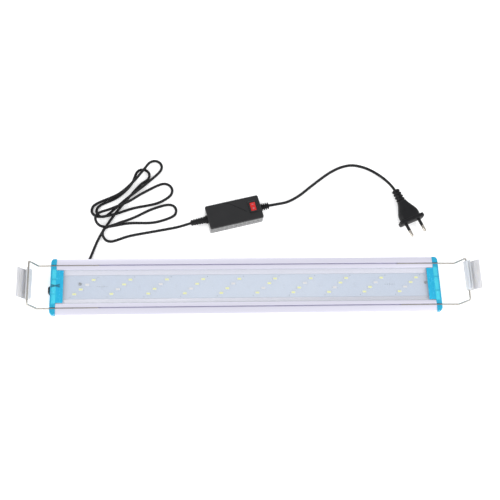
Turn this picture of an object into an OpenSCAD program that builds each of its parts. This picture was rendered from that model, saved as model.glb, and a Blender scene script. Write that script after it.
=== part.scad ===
// Slim LED light bar for an aquarium, with two sliding wire brackets, swivelling rim clips,
// an in-line driver with a rocker switch, and a two-pin plug.
// X runs along the bar, Y across it and Z up. The LED side faces up and the caps stand on z = 0.

/* [Bar] */
// Length over both end caps
bar_length = 480; // [400:10:600]
// Width of the aluminium body
bar_width = 71; // [66:0.5:80]
// Height of the end caps, which are also the feet
bar_height = 12.8; // [12.4:0.1:14]
// Gap under the aluminium body, where the cord runs
cord_gap = 4; // [3.8:0.1:5]
// Length of each end cap beyond the aluminium
cap_length = 7; // [5:0.5:10]
// How far each cap's lip reaches over the cover
lip_length = 8.6; // [5:0.2:12]

/* [LEDs] */
// Groups of four LEDs along the board
led_groups = 10; // [6:1:12]
// Distance from one group to the next
group_pitch = 44.4; // [40:0.1:50]
// Step along the bar inside a group
led_step = 7.55; // [6:0.05:9]
// Distance between the four rows
row_pitch = 6; // [5:0.1:7]
// Length of one LED package
led_length = 5.7; // [3:0.1:6]
// Width of one LED package
led_width = 3; // [2:0.1:4]

/* [Brackets] */
// Diameter of the bracket wire
wire_d = 2.5; // [2:0.1:3]
// Distance of each wire groove from the middle
groove_y = 27; // [25:0.5:30]
// Straight leg from its inner end to the first bend
leg_length = 72.6; // [60:0.2:90]
// How far the left bracket's bend stands outside its cap
left_out = 14.9; // [0:0.1:60]
// How far the right bracket's bend stands outside its cap
right_out = 21.6; // [0:0.1:60]
// Reach of the sloping part along the bar
rise_x = 9; // [5:0.2:20]
// Height of the sloping part
rise_z = 18.5; // [5:0.5:20]

/* [Clips] */
// Length of each rim clip along its wire
clip_length = 37; // [30:1:42]
// Width of the slot for the glass
slot_w = 5; // [4.6:0.1:8]
// Wall of the clip
clip_wall = 1.4; // [1:0.1:2]
// Slope of the left clip's leaves
left_slope = 57; // [0:1:90]
// Slope of the right clip's leaves
right_slope = 46; // [0:1:90]
// Place of the right clip along its wire
right_clip_y = 4; // [-5:0.5:5]

/* [Driver] */
// Length of the driver case
driver_l = 69.5; // [60:0.5:90]
// Width of the driver case over its ribs
driver_w = 32.5; // [26:0.5:36]
// Height of the driver case
driver_h = 16; // [15:0.5:22]
// Height of the seam between base and lid
seam_z = 8.4; // [7:0.1:10]

/* [Plug and cords] */
// Diameter of the lamp cord
lamp_cord_d = 3.4; // [3:0.1:4]
// Diameter of the mains cord
mains_cord_d = 3.6; // [3.4:0.1:5]
// Distance between the plug's pins
pin_spacing = 18.6; // [18:0.1:19]
// Length of the plug's pins
pin_length = 19; // [18:0.5:20]

/* [Hidden] */
$fn = 48;
eps = 0.02;

half = bar_length / 2;
body_end = half - cap_length;
body_top = bar_height - 0.4;
half_w = bar_width / 2;

// Cross-section of the bar
floor_z = 7.3;                 // top of the floor that the board lies on
board_half = 15;
board_t = 1.6;
board_top = floor_z + board_t;
lens_half = 21.2;
lens_t = 1.2;
lens_top = body_top - 0.6;
lens_bottom = lens_top - lens_t;
strip_y = 21.4;                // inner edge of the raised strip
wire_z = body_top - 1.9;
wire_fit = 0.05;               // running fit round the wire
mouth = 1.7;
port_y = 31.2;                 // screw ports
port_z = 7.4;
port_r = 1.23;
led_h = 0.9;
led_x0 = -((led_groups - 1) * group_pitch + 3 * led_step) / 2;
board_screws_at = [[-204.6, 4], [222.5, 2.5]];

// Cord exit on the left cap
exit_y = -3;
lead_y = 1;                     // middle of the two leads in the left cap
spigot_z = 8;
boot_face_x = -236;
cord_z = 1.9;

// Bracket bends
kink_r = 2.2;
corner_r = 1.8;
rise_a = atan2(rise_z, rise_x);
riser = norm([rise_x, rise_z]);
bar_z = wire_z + rise_z;       // height of the crossbars

// Driver
driver_at = [-14.91, 96.31];
driver_turn = 13.5;
dwall = 1.8;
rib_pitch = 5.8;
gland_y = 1.5;
gland_z = 6.4;
post_at = [31.25, 12.35];
dboard_x = [-24, 16];
dboard_z = 4.6;
switch_at = [24.6, 1];
switch_body = [9.4, 13.6];
pivot_z = driver_h - 1.2;
rocker_tilt = 8;

// Plug
plug_at = [214.7, 86.2];
plug_turn = -67.3;
plug_h = 13.7;
plug_w = 34.5;
plug_l = 30.3;
boot_l = 17;
sleeve_l = 10;
mouth_l = 1.6;
pin_r = 2;

// Colours
lilac = [0.86, 0.86, 0.91];
cap_blue = [0.0, 0.55, 0.88];
cord_black = [0.08, 0.08, 0.09];
steel = [0.62, 0.6, 0.57];
milky = [0.84, 0.87, 0.92, 0.8];

// Route of the lamp cord, from its boot under the bar to the driver
lamp_route = [
    [-237, -3, 1.9], [-221, -2, 1.9], [-206, 14, 1.9], [-195, 38, 1.9], [-183, 69, 1.9],
    [-165, 99, 1.9], [-147, 123, 1.9], [-133.5, 139.5, 1.9], [-123.5, 148, 1.9],
    [-122.5, 156, 1.9], [-129, 161, 1.9], [-137.5, 158, 1.9], [-145.5, 139.5, 1.9],
    [-162, 122.5, 1.9], [-183, 111.5, 1.9], [-188, 103.5, 1.9], [-184, 96.5, 1.9],
    [-176, 96.5, 2.2], [-164.5, 105.5, 5], [-149, 120, 5.4], [-128.5, 138.5, 3],
    [-108.5, 158.5, 1.9], [-107, 168.5, 1.9], [-113.5, 173.5, 1.9], [-121.5, 171, 2.8],
    [-128.5, 160.5, 5.6], [-142, 143, 5.4], [-160.5, 125.5, 5.2], [-188, 113.5, 1.9],
    [-194, 105, 1.9], [-191.5, 98, 3.2], [-183, 94, 5.6], [-165, 97.5, 5.6], [-142, 107, 2],
    [-112, 114, 1.9], [-95, 125, 1.9], [-94, 136, 1.9], [-105, 141, 1.9], [-128, 129, 3],
    [-148, 114, 7.6], [-169.5, 103.5, 9.2], [-186.5, 96.5, 8.8], [-187.5, 87, 5.6],
    [-176.5, 80.5, 5.4], [-147.5, 86.5, 2], [-116.5, 87.5, 1.9], [-93.5, 95, 1.9],
    [-88, 102.5, 1.9], [-91, 110, 1.9], [-100.5, 111.5, 1.9], [-120, 105, 2], [-142, 93, 3.8],
    [-162.5, 83.5, 7.4], [-177.5, 76.5, 7.8], [-178.5, 67.5, 4.2], [-169.5, 62, 1.9],
    [-145.5, 69.5, 1.9], [-112, 76, 1.9], [-87, 80.3, 3.6], [-68.53, 84.93, 6.4]];
// Route of the mains cord, from the driver to the plug
mains_route = [
    [29.13, 108.47, 6.4], [40, 111, 5.2], [55, 115.5, 2.6], [70, 124, 2],
    [85, 136, 2], [100, 148, 2], [114, 158, 2], [128, 165, 2], [142, 168, 2],
    [155, 166, 2], [168, 160.5, 2], [181, 151, 2.6], [190, 140.5, 4.6], [196.79, 128.88, 6.85]];
lamp_rings = 60;
mains_rings = 24;

// ---------- small helpers ----------

// A 2D outline in Y and Z, pushed along X from x0 to x1
module along_x(x0, x1) {
    translate([x0, 0, 0]) rotate([90, 0, 90]) linear_extrude(x1 - x0) children();
}

// A round bar along X
module rod_x(r, x0, x1) {
    translate([x0, 0, 0]) rotate([0, 90, 0]) cylinder(r = r, h = x1 - x0);
}

// A rectangle with round corners, centred
module round_rect(size, r) {
    square([size[0] - 2 * r, size[1]], center = true);
    square([size[0], size[1] - 2 * r], center = true);
    for (sx = [-1, 1], sy = [-1, 1])
        translate([sx * (size[0] / 2 - r), sy * (size[1] / 2 - r)]) circle(r);
}

// A point of the smooth curve through p, at u points along it
function at(p, i) = i < 0 ? 2 * p[0] - p[1]
    : i > len(p) - 1 ? 2 * p[len(p) - 1] - p[len(p) - 2] : p[i];
function curve(p, u) =
    let (i = min(floor(u), len(p) - 2), t = u - i,
         a = at(p, i - 1), b = at(p, i), c = at(p, i + 1), d = at(p, i + 2))
    0.5 * (2 * b + (c - a) * t + (2 * a - 5 * b + 4 * c - d) * t * t
        + (3 * b - a - 3 * c + d) * t * t * t);

// Rings of a tube of radius r: one list of points for each ring
function unit(v) = v / norm(v);
function ring(p, i, r, sides) =
    let (t = unit(at(p, i + 1) - at(p, i - 1)),
         side = unit([t[1], -t[0], 0]), up = cross(side, t))
    [for (k = [0 : sides - 1])
        p[i] + r * (cos(360 * k / sides) * side + sin(360 * k / sides) * up)];

// A plain tube of diameter d along a route, with so many rings
module tube(route, d, rings, sides = 8) {
    p = [for (i = [0 : rings - 1]) curve(route, i * (len(route) - 1) / (rings - 1))];
    polyhedron(
        points = [for (i = [0 : rings - 1]) each ring(p, i, d / 2, sides)],
        faces = concat(
            [[for (k = [sides - 1 : -1 : 0]) k]],
            [[for (k = [0 : sides - 1]) (rings - 1) * sides + k]],
            [for (i = [0 : rings - 2], k = [0 : sides - 1])
                let (m = (k + 1) % sides)
                [i * sides + k, i * sides + m, (i + 1) * sides + m, (i + 1) * sides + k]]));
}

// ---------- light bar ----------

module housing_half() {
    polygon([[-eps, cord_gap], [half_w - 1, cord_gap], [half_w, cord_gap + 1],
        [half_w, body_top - 1], [groove_y + mouth / 2, body_top],
        [groove_y - mouth / 2, body_top], [strip_y, lens_top + 0.1], [strip_y, lens_bottom],
        [strip_y - 1, lens_bottom], [board_half + 0.2, board_top],
        [board_half + 0.2, floor_z], [-eps, floor_z]]);
}

module housing_outline() {
    difference() {
        union() { housing_half(); mirror([1, 0]) housing_half(); }
        for (s = [-1, 1]) {
            translate([s * groove_y, wire_z]) circle(wire_d / 2 + wire_fit);
            translate([s * groove_y - mouth / 2, wire_z]) square([mouth, 4]);
            translate([s * port_y, port_z]) circle(port_r);
        }
        // cooling grooves along the back
        for (y = [-26 : 4 : 26]) translate([y - 0.9, cord_gap - 1]) square([1.8, 2.6]);
    }
}

module housing() {
    color(lilac) difference() {
        along_x(-body_end, body_end) housing_outline();
        for (p = board_screws_at) translate([p[0], p[1], 5.9]) cylinder(r = port_r, h = 3);
    }
}

module cover_lens() {
    color([0.85, 0.92, 0.98, 0.25])
        translate([-body_end + 0.4, -lens_half, lens_bottom])
            cube([2 * body_end - 0.8, 2 * lens_half, lens_t]);
}

module led_board() {
    color([0.84, 0.87, 0.9]) difference() {
        translate([-body_end + 2, -board_half, floor_z])
            cube([2 * body_end - 4, 2 * board_half, board_t]);
        for (p = board_screws_at)
            translate([p[0], p[1], floor_z - 1]) cylinder(r = 1.4, h = 4);
    }
}

// The row that holds the blue LED changes from one group to the next
function blue_row(g) = g % 2 == 0 ? 2 : 1;

module led_package() {
    translate([-led_length / 2, -led_width / 2, 0]) cube([led_length, led_width, led_h - 0.2]);
    translate([-led_length / 2 + 0.4, -led_width / 2 + 0.3, led_h - 0.2])
        cube([led_length - 0.8, led_width - 0.6, 0.2]);
}

module leds(blue) {
    for (g = [0 : led_groups - 1], row = [0 : 3])
        if ((row == blue_row(g)) == blue)
            translate([led_x0 + g * group_pitch + row * led_step,
                       (row - 1.5) * row_pitch, board_top]) led_package();
}

module leds_white() { color([0.93, 0.9, 0.55]) leds(false); }
module leds_blue() { color([0.93, 0.9, 0.94]) leds(true); }

module board_resistors() {
    color([0.12, 0.12, 0.13])
        for (g = [0 : led_groups - 2], s = [-1, 1])
            translate([led_x0 + (g + 0.5) * group_pitch + 1.5 * led_step - 0.8,
                       s * 1.6 - 0.5, board_top]) cube([1.6, 1, 0.45]);
}

module board_screws() {
    color([0.7, 0.7, 0.72])
        for (p = board_screws_at) translate([p[0], p[1], 0]) difference() {
            union() {
                translate([0, 0, 6]) cylinder(r = 1.2, h = board_top - 6);
                translate([0, 0, board_top]) cylinder(r = 2, h = 0.8);
                translate([0, 0, board_top + 0.8]) cylinder(r = 1.6, h = 0.35);
            }
            for (a = [0, 90]) rotate(a)
                translate([-1.1, -0.25, board_top + 0.5]) cube([2.2, 0.5, 1]);
        }
}

// The right-hand cap; the left one is its mirror image with the cord's way out
module cap_shape() {
    outer = [2.5, 4.5];
    w = half_w;
    difference() {
        union() {
            linear_extrude(bar_height) {
                polygon([[body_end, -w], [half - outer[0], -w], [half - 0.7, -w + 2],
                    [half, -w + outer[1]], [half, w - outer[1]], [half - 0.7, w - 2],
                    [half - outer[0], w], [body_end, w]]);
            }
            translate([body_end - lip_length, -strip_y + 0.8, lens_top + 0.05])
                cube([lip_length + 1, 2 * strip_y - 1.6, bar_height - lens_top - 0.05]);
        }
        // lower edges cut back, so that only the aluminium's level shows from above
        for (s = [-1, 1]) scale([1, s, 1]) along_x(body_end - 1, half + 1)
            polygon([[w - 4, 0], [w - 4, -1], [w + 1, -1], [w + 1, 6.5], [w, 5.5]]);
        // hollows that open towards the aluminium
        translate([body_end - eps, -7.5, 5]) cube([cap_length - 2.4, 15, lens_bottom - 5]);
        for (s = [-1, 1]) translate([body_end - eps, s * 15 - 5.5, 2])
            cube([cap_length - 2.4, 11, lens_bottom - 2]);
        for (s = [-1, 1]) {
            translate([0, s * groove_y, wire_z])
                rod_x(wire_d / 2 + wire_fit, body_end - 1, half + 1);
            translate([body_end - 1, s * groove_y - 1.1, wire_z]) cube([cap_length + 2, 2.2, 5]);
            translate([0, s * port_y, port_z]) {
                rod_x(1.3, body_end - 1, half + 1);
                rod_x(2.3, half - 2, half + 1);
            }
        }
    }
}

module end_cap_right() { color(cap_blue) cap_shape(); }

module end_cap_left() {
    color(cap_blue) difference() {
        mirror([1, 0, 0]) cap_shape();
        translate([0, exit_y, spigot_z]) rod_x(2.35, -half - 1, -body_end - 2);
        translate([-half - 1, exit_y - 2.6, -1]) cube([cap_length + 2, 5.2, 5.1]);
    }
}

module cap_screws() {
    color([0.75, 0.76, 0.78])
        for (e = [-1, 1], s = [-1, 1])
            translate([0, s * port_y, port_z]) scale([e, 1, 1]) difference() {
                union() {
                    rod_x(1.2, body_end - 6, half - 1);
                    rod_x(2.1, half - 2, half - 0.6);
                }
                for (a = [0, 90]) rotate([a, 0, 0])
                    translate([half - 1.2, -1.3, -0.25]) cube([2, 2.6, 0.5]);
            }
}

module cable_boot() {
    color(cord_black) {
        hull() {
            along_x(-half - 1.6, -half) translate([exit_y, 5.4]) round_rect([9.6, 10.4], 3);
            along_x(-half - 2.6, -half) translate([exit_y, 5.4]) round_rect([7.6, 8.4], 2.4);
        }
        translate([0, exit_y, spigot_z]) rod_x(2.3, -half - 0.5, -half + 2.6);
        difference() {
            translate([-half - 1, exit_y - 2.4, 0.2]) cube([boot_face_x + half + 1, 4.8, 3.7]);
            translate([0, exit_y, 1.9]) rod_x(lamp_cord_d / 2 + 0.12, boot_face_x - mouth_l,
                boot_face_x + 1);
        }
    }
}

module lamp_leads() {
    colors = [[0.75, 0.1, 0.1], [0.1, 0.1, 0.1]];
    z = board_top + 0.8;
    for (i = [0, 1]) color(colors[i]) translate([0, lead_y - 1 + 2 * i, 0]) {
        translate([0, 0, z]) rod_x(0.6, -half + 2.6, -body_end + 4.4);
        translate([-body_end + 4.4, 0, board_top]) cylinder(r = 0.6, h = 0.8);
        translate([-body_end + 4.4, 0, z]) sphere(0.6);
        translate([-body_end + 4.4, 0, board_top]) cylinder(r = 1.1, h = 0.3);
    }
}

// ---------- brackets and clips ----------

// One bracket whose first bend stands at x = k, for the right-hand end. The bends are a hair
// fatter than the straights, which reach a little way into them.
module bracket_shape(k) {
    r = wire_d / 2;
    fat = r + 0.03;
    in = 0.2;
    back = kink_r * tan(rise_a / 2);
    for (s = [-1, 1]) scale([1, s, 1]) {
        translate([0, groove_y, wire_z]) rod_x(r, k - leg_length, k - back + in);
        translate([k - back, groove_y, wire_z + kink_r]) rotate([90, 0, 0])
            rotate([0, 0, -90]) rotate_extrude(angle = rise_a) translate([kink_r, 0]) circle(fat);
        translate([k, 0, wire_z]) rotate([0, -rise_a, 0]) {
            translate([0, groove_y, 0]) rod_x(r, back - in, riser - corner_r + in);
            translate([riser - corner_r, groove_y - corner_r, 0])
                rotate_extrude(angle = 90) translate([corner_r, 0]) circle(fat);
        }
    }
    translate([k + rise_x, groove_y - corner_r + in, bar_z]) rotate([90, 0, 0])
        cylinder(r = r, h = 2 * (groove_y - corner_r + in));
}

module bracket_right() { color(steel) bracket_shape(half + right_out); }
module bracket_left() { color(steel) mirror([1, 0, 0]) bracket_shape(half + left_out); }

// Section of a clip: the slot opens towards +X. The wire's first seat, in the web, is the
// origin, and the second is a hook at the end of the shorter leaf
hook_at = [5.4, 3.9];
hook_r = 2.3;
module clip_section() {
    inner = 2.2;
    outer = slot_w - inner;
    web = [-2.6, 2.6];
    difference() {
        union() {
            translate([web[0], -outer - clip_wall])
                square([web[1] - web[0], slot_w + 2 * clip_wall]);
            translate([web[0], inner]) square([hook_at[0] - web[0], clip_wall]);
            translate(hook_at) circle(hook_r);
            translate([web[0], -outer - clip_wall]) square([15.7 - web[0], clip_wall]);
            translate([15.7, -outer - clip_wall / 2]) circle(clip_wall / 2);
            // grip ribs inside the slot
            for (x = [4.6, 7.2, 9.8, 12.4, 15]) translate([x, -outer]) circle(0.45);
        }
        circle(wire_d / 2 + wire_fit);
        translate([web[0] - 1, -0.85]) square([-web[0] + 1, 1.7]);
        translate(hook_at) {
            circle(wire_d / 2 + wire_fit);
            square(5);
        }
    }
}

module clip_shape(k, y, slope, seat) {
    translate([k + rise_x, y, bar_z]) rotate([0, -slope, 0])
        rotate([90, 0, 0]) linear_extrude(clip_length, center = true)
            translate(-seat) clip_section();
}

module clip_right() {
    color(milky) clip_shape(half + right_out, right_clip_y, right_slope, [0, 0]);
}

module clip_left() {
    color(milky) mirror([1, 0, 0]) clip_shape(half + left_out, 0, left_slope, hook_at);
}

// ---------- driver ----------

module at_driver() { translate([driver_at[0], driver_at[1], 0]) rotate(driver_turn) children(); }

module driver_outline() {
    w = driver_w - 0.8;
    round_rect([driver_l, w], 2.2);
    for (i = [-5 : 5], s = [-1, 1]) translate([i * rib_pitch, s * (w / 2 - 1.2)]) circle(1.6);
}

module posts() {
    for (sx = [-1, 1], sy = [-1, 1]) translate([sx * post_at[0], sy * post_at[1], 0]) children();
}

// The round way through both end walls for the strain reliefs
module gland_holes() { translate([0, gland_y, gland_z]) rod_x(3.1, -driver_l, driver_l); }

module driver_base() {
    color(cord_black) at_driver() difference() {
        union() {
            difference() {
                linear_extrude(seam_z) driver_outline();
                translate([0, 0, dwall]) linear_extrude(seam_z)
                    round_rect([driver_l - 2 * dwall, driver_w - 0.8 - 2 * dwall], 1);
            }
            posts() cylinder(r = 2.1, h = seam_z);
            for (x = [dboard_x[0] + 3, dboard_x[1] - 3], s = [-1, 1]) translate([x, s * 8.5, 1]) {
                cylinder(r = 2, h = dboard_z - 1);
                cylinder(r = 0.8, h = dboard_z + 1.4);
            }
        }
        gland_holes();
        posts() { translate([0, 0, -1]) cylinder(r = 1.15, h = 20);
                  translate([0, 0, -1]) cylinder(r = 1.9, h = 2.4); }
    }
}

module lid_groove() {
    p = [[-12.9, 16.5], [-1.3, 10.5], [15.1, -3.3]];
    for (i = [0, 1]) {
        d = p[i + 1] - p[i];
        translate([p[i][0], p[i][1], driver_h - 0.5]) rotate(atan2(d[1], d[0]))
            translate([0, -0.4, 0]) cube([norm(d), 0.8, 1]);
    }
    for (q = p) translate([q[0], q[1], driver_h - 0.5]) cylinder(r = 0.46, h = 1);
}

module driver_lid() {
    inside = driver_h - dwall;
    color(cord_black) at_driver() difference() {
        union() {
            difference() {
                translate([0, 0, seam_z]) linear_extrude(driver_h - seam_z) driver_outline();
                translate([0, 0, seam_z - 1]) linear_extrude(inside - seam_z + 1)
                    round_rect([driver_l - 2 * dwall, driver_w - 0.8 - 2 * dwall], 1);
            }
            posts() translate([0, 0, seam_z]) cylinder(r = 2.1, h = inside - seam_z + 0.5);
        }
        gland_holes();
        posts() translate([0, 0, seam_z - 1]) cylinder(r = 1, h = 5);
        translate([switch_at[0], switch_at[1], 0]) linear_extrude(40)
            square([switch_body[0] + 0.2, switch_body[1] + 0.2], center = true);
        lid_groove();
    }
}

module driver_board() {
    color([0.16, 0.4, 0.24]) at_driver() difference() {
        translate([dboard_x[0], -11, dboard_z]) cube([dboard_x[1] - dboard_x[0], 22, 1.6]);
        for (x = [dboard_x[0] + 3, dboard_x[1] - 3], s = [-1, 1])
            translate([x, s * 8.5, 0]) cylinder(r = 0.9, h = 20);
    }
}

module transformer() {
    z = dboard_z + 1.6;
    at_driver() translate([-1, 0, z]) {
        color([0.2, 0.19, 0.18]) for (s = [-1, 1])
            translate([-6.5, s * 5 - 1.5, 1]) cube([13, 3, 6]);
        color([0.2, 0.19, 0.18]) for (s = [-1, 1])
            translate([s * 5.4 - 1.1, -5, 1]) cube([2.2, 10, 6]);
        color([0.85, 0.7, 0.25]) translate([0, -3.5, 4]) rotate([-90, 0, 0])
            cylinder(r = 3.1, h = 7);
        color([0.15, 0.15, 0.15]) translate([-6.5, -6.5, 0]) cube([13, 13, 1]);
    }
}

module capacitors() {
    z = dboard_z + 1.6;
    color([0.13, 0.16, 0.3]) at_driver() {
        translate([-14, -6, z + 4]) rotate([-90, 0, 0]) cylinder(r = 4, h = 12);
        translate([11.5, 3.5, z]) cylinder(r = 2.5, h = 7);
    }
}

module driver_chips() {
    z = dboard_z + 1.6;
    color([0.1, 0.1, 0.11]) at_driver() {
        translate([-23, -3, z]) cube([3.6, 6, 1.8]);
        translate([9, -7, z]) cube([5, 6, 1.7]);
        for (y = [-9.5, 9.5]) translate([-6, y - 0.8, z]) cube([4.5, 1.6, 1.3]);
    }
}

module driver_screws() {
    color([0.55, 0.55, 0.57]) at_driver() posts() difference() {
        union() {
            translate([0, 0, 0.2]) cylinder(r = 1.8, h = 1.2);
            translate([0, 0, 1.4]) cylinder(r = 0.97, h = 10);
        }
        for (a = [0, 90]) rotate(a) translate([-1.1, -0.25, 0]) cube([2.2, 0.5, 0.8]);
    }
}

module at_switch() {
    at_driver() translate([switch_at[0], switch_at[1], 0]) children();
}

module switch_body() {
    color([0.07, 0.07, 0.08]) at_switch() {
        difference() {
            union() {
                translate([0, 0, driver_h]) linear_extrude(1.3) round_rect([10.6, 15.2], 1);
                translate([0, 0, 8]) linear_extrude(driver_h - 8)
                    square(switch_body, center = true);
            }
            translate([0, 0, pivot_z - 4.8]) linear_extrude(20)
                square([7.2, 11.9], center = true);
            translate([0, 0, pivot_z]) rod_x(0.8, -4.2, 4.2);
        }
        for (y = [-3.5, 3.5]) translate([-2, y - 0.3, 4]) cube([4, 0.6, 4.5]);
    }
}

module rocker() {
    rim = 2.6 + 5.3 * tan(rocker_tilt);
    color([0.85, 0.08, 0.06]) at_switch() translate([0, 0, pivot_z]) rotate([rocker_tilt, 0, 0]) {
        along_x(-3.4, 3.4) polygon([[-5.3, rim], [0, 2.6], [5.3, rim], [5.3, 0], [3.2, -3],
            [-3.2, -3], [-5.3, 0]]);
        rod_x(0.74, -4.1, 4.1);
    }
}

// A ribbed tapering sleeve round the X axis: its wall runs from r0 to r1 over len, after a
// flange and with a neck and an inner flange inside the case. The cord goes into a mouth at
// its tip
module relief(r0, r1, len, ribs, rib_h, flange_r, flange_l, neck_l, mouth_r) {
    step = (len - flange_l) / ribs;
    function wall(x) = r0 + (r1 - r0) * (x - flange_l) / (len - flange_l);
    rotate([0, 90, 0]) rotate_extrude() polygon(concat(
        [[0, -neck_l], [3.9, -neck_l], [3.9, -dwall], [3.1, -dwall], [3.1, 0],
         [flange_r, 0], [flange_r, flange_l]],
        [for (i = [0 : ribs - 1], q = [[0.25, 0], [0.35, rib_h], [0.8, rib_h], [0.9, 0]])
            let (x = flange_l + step * (i + q[0])) [wall(x) + q[1], x]],
        [[r1, len], [mouth_r, len], [mouth_r, len - mouth_l], [0, len - mouth_l]]));
}

module lamp_side_relief() {
    color(cord_black) at_driver() translate([-driver_l / 2, gland_y, gland_z]) rotate(180)
        relief(4, 3.2, 21.05, 6, 0.6, 5.4, 2, 4, lamp_cord_d / 2 + 0.3);
}

module mains_side_relief() {
    color(cord_black) at_driver() translate([driver_l / 2, gland_y, gland_z])
        relief(3.1, 2.6, 11.95, 4, 1.7, 4.4, 1.2, 3.2, mains_cord_d / 2 + 0.3);
}

// ---------- plug ----------

module at_plug() {
    translate([plug_at[0], plug_at[1], plug_h / 2]) rotate(plug_turn) children();
}

module two_pins() { for (s = [-1, 1]) translate([0, s * pin_spacing / 2, 0]) children(); }

// A slice of the plug's grip at x, of size w by h
module grip_slice(x, w, h) {
    along_x(x, x + 0.5) round_rect([w, h], h / 2 - 0.5);
}

module plug_body() {
    color(cord_black) at_plug() difference() {
        union() {
            along_x(-4.6, 0) round_rect([plug_w, plug_h], 3.5);
            hull() { grip_slice(-5, 27.5, 13); grip_slice(-13.5, 26.5, 13); }
            hull() { grip_slice(-13.5, 26.5, 13); grip_slice(-21, 19, 12.6); }
            hull() { grip_slice(-21, 19, 12.6); grip_slice(-plug_l, 11.6, 11); }
        }
        two_pins() rod_x(1.4, -12, 1);
        rod_x(3, -plug_l - 1, -plug_l + 8);
    }
}

module plug_boot() {
    color(cord_black) at_plug() translate([-plug_l, 0, 0]) rotate(180) {
        rod_x(3, -8, 0);
        rotate([0, 90, 0]) rotate_extrude() polygon(concat([[0, 0], [5.4, 0]],
            [for (i = [0 : 3], q = [[0.3, 0], [0.38, 1.1], [0.82, 1.1], [0.9, 0]])
                let (x = boot_l / 4 * (i + q[0])) [4.7 - 0.7 * x / boot_l + q[1], x]],
            [[4, boot_l], [mains_cord_d / 2 + 0.3, boot_l],
             [mains_cord_d / 2 + 0.3, boot_l - mouth_l], [0, boot_l - mouth_l]]));
    }
}

module plug_pins() {
    color([0.8, 0.78, 0.72]) at_plug() two_pins() {
        rod_x(1.4, -12, sleeve_l + 1);
        rod_x(pin_r, sleeve_l, pin_length - 1);
        translate([pin_length - 1, 0, 0]) rotate([0, 90, 0]) cylinder(r1 = pin_r, r2 = 1.2, h = 1);
    }
}

module pin_sleeves() {
    color(cord_black) at_plug() two_pins() difference() {
        rod_x(pin_r, 0, sleeve_l);
        rod_x(1.42, -1, sleeve_l + 1);
    }
}

// ---------- cords ----------

module lamp_cord() { color(cord_black) tube(lamp_route, lamp_cord_d, lamp_rings); }
module mains_cord() { color(cord_black) tube(mains_route, mains_cord_d, mains_rings); }

housing();
cover_lens();
led_board();
leds_white();
leds_blue();
board_resistors();
board_screws();
end_cap_left();
end_cap_right();
cap_screws();
cable_boot();
lamp_leads();
bracket_left();
bracket_right();
clip_left();
clip_right();
driver_base();
driver_lid();
driver_board();
transformer();
capacitors();
driver_chips();
driver_screws();
switch_body();
rocker();
lamp_side_relief();
mains_side_relief();
plug_body();
plug_boot();
plug_pins();
pin_sleeves();
lamp_cord();
mains_cord();
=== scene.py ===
"""Looks for a slim LED aquarium light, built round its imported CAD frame.

Sizes in the classes are in millimetres. Every finished mesh is cast in metres, with its object at
the origin and its place in its vertices.
"""
import logging
import math
from dataclasses import dataclass, field
from enum import Enum
from typing import Any, Mapping, Sequence

import bmesh
import bpy
from mathutils import Matrix, Vector


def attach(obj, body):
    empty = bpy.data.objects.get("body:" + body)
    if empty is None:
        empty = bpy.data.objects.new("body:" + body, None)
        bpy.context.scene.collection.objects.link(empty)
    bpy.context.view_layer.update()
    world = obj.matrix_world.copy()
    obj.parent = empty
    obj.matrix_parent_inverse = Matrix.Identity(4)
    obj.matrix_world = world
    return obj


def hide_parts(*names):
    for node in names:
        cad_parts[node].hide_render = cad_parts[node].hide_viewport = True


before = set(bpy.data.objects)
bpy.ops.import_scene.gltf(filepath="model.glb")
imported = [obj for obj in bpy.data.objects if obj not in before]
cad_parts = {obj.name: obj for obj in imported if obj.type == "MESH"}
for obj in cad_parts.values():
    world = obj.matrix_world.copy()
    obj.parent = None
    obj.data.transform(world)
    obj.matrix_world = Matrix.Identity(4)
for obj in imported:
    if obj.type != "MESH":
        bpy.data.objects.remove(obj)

log = logging.getLogger("aquarium_light")

MM = 0.001
BAR_END, BAR_HALF_WIDTH = 233.0, 35.5
CAP_END, CAP_TOP = 240.0, 12.8
WIRE_Y, WIRE_Z, GROOVE_R = 27.0, 10.5, 1.3
PORT_Y, PORT_Z = 31.2, 7.4
EXIT_Y, EXIT_Z = -3.0, 8.0
Point = tuple[float, float]
Spot = tuple[float, float, float]
Ring = Sequence[Sequence[float]]


class Body(Enum):
    """The CAD bodies that a piece can ride on."""

    LAMP = "lamp"
    LEFT_BRACKET = "left_bracket"
    RIGHT_BRACKET = "right_bracket"
    LEFT_CLIP = "left_clip"
    RIGHT_CLIP = "right_clip"
    ROCKER = "rocker_switch"


class Slot(Enum):
    """The record's material slots."""

    ALUMINIUM = "housing_aluminium"
    COVER = "clear_cover"
    BOARD = "white_board"
    PHOSPHOR = "yellow_phosphor"
    BLUE_LED = "blue_led"
    CHIP = "chip_black"
    PLATED = "plated_steel"
    CAP = "cap_blue"
    RUBBER = "black_rubber"
    LEADS = "lead_wires"
    WIRE = "bracket_steel"
    CLIP = "clip_plastic"
    DRIVER = "driver_black"
    GREEN = "board_green"
    FERRITE = "ferrite"
    CAPACITOR = "capacitor_blue"
    SWITCH = "switch_black"
    ROCKER = "rocker_red"
    PIN = "pin_metal"


# ---------- node trees ----------


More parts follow.
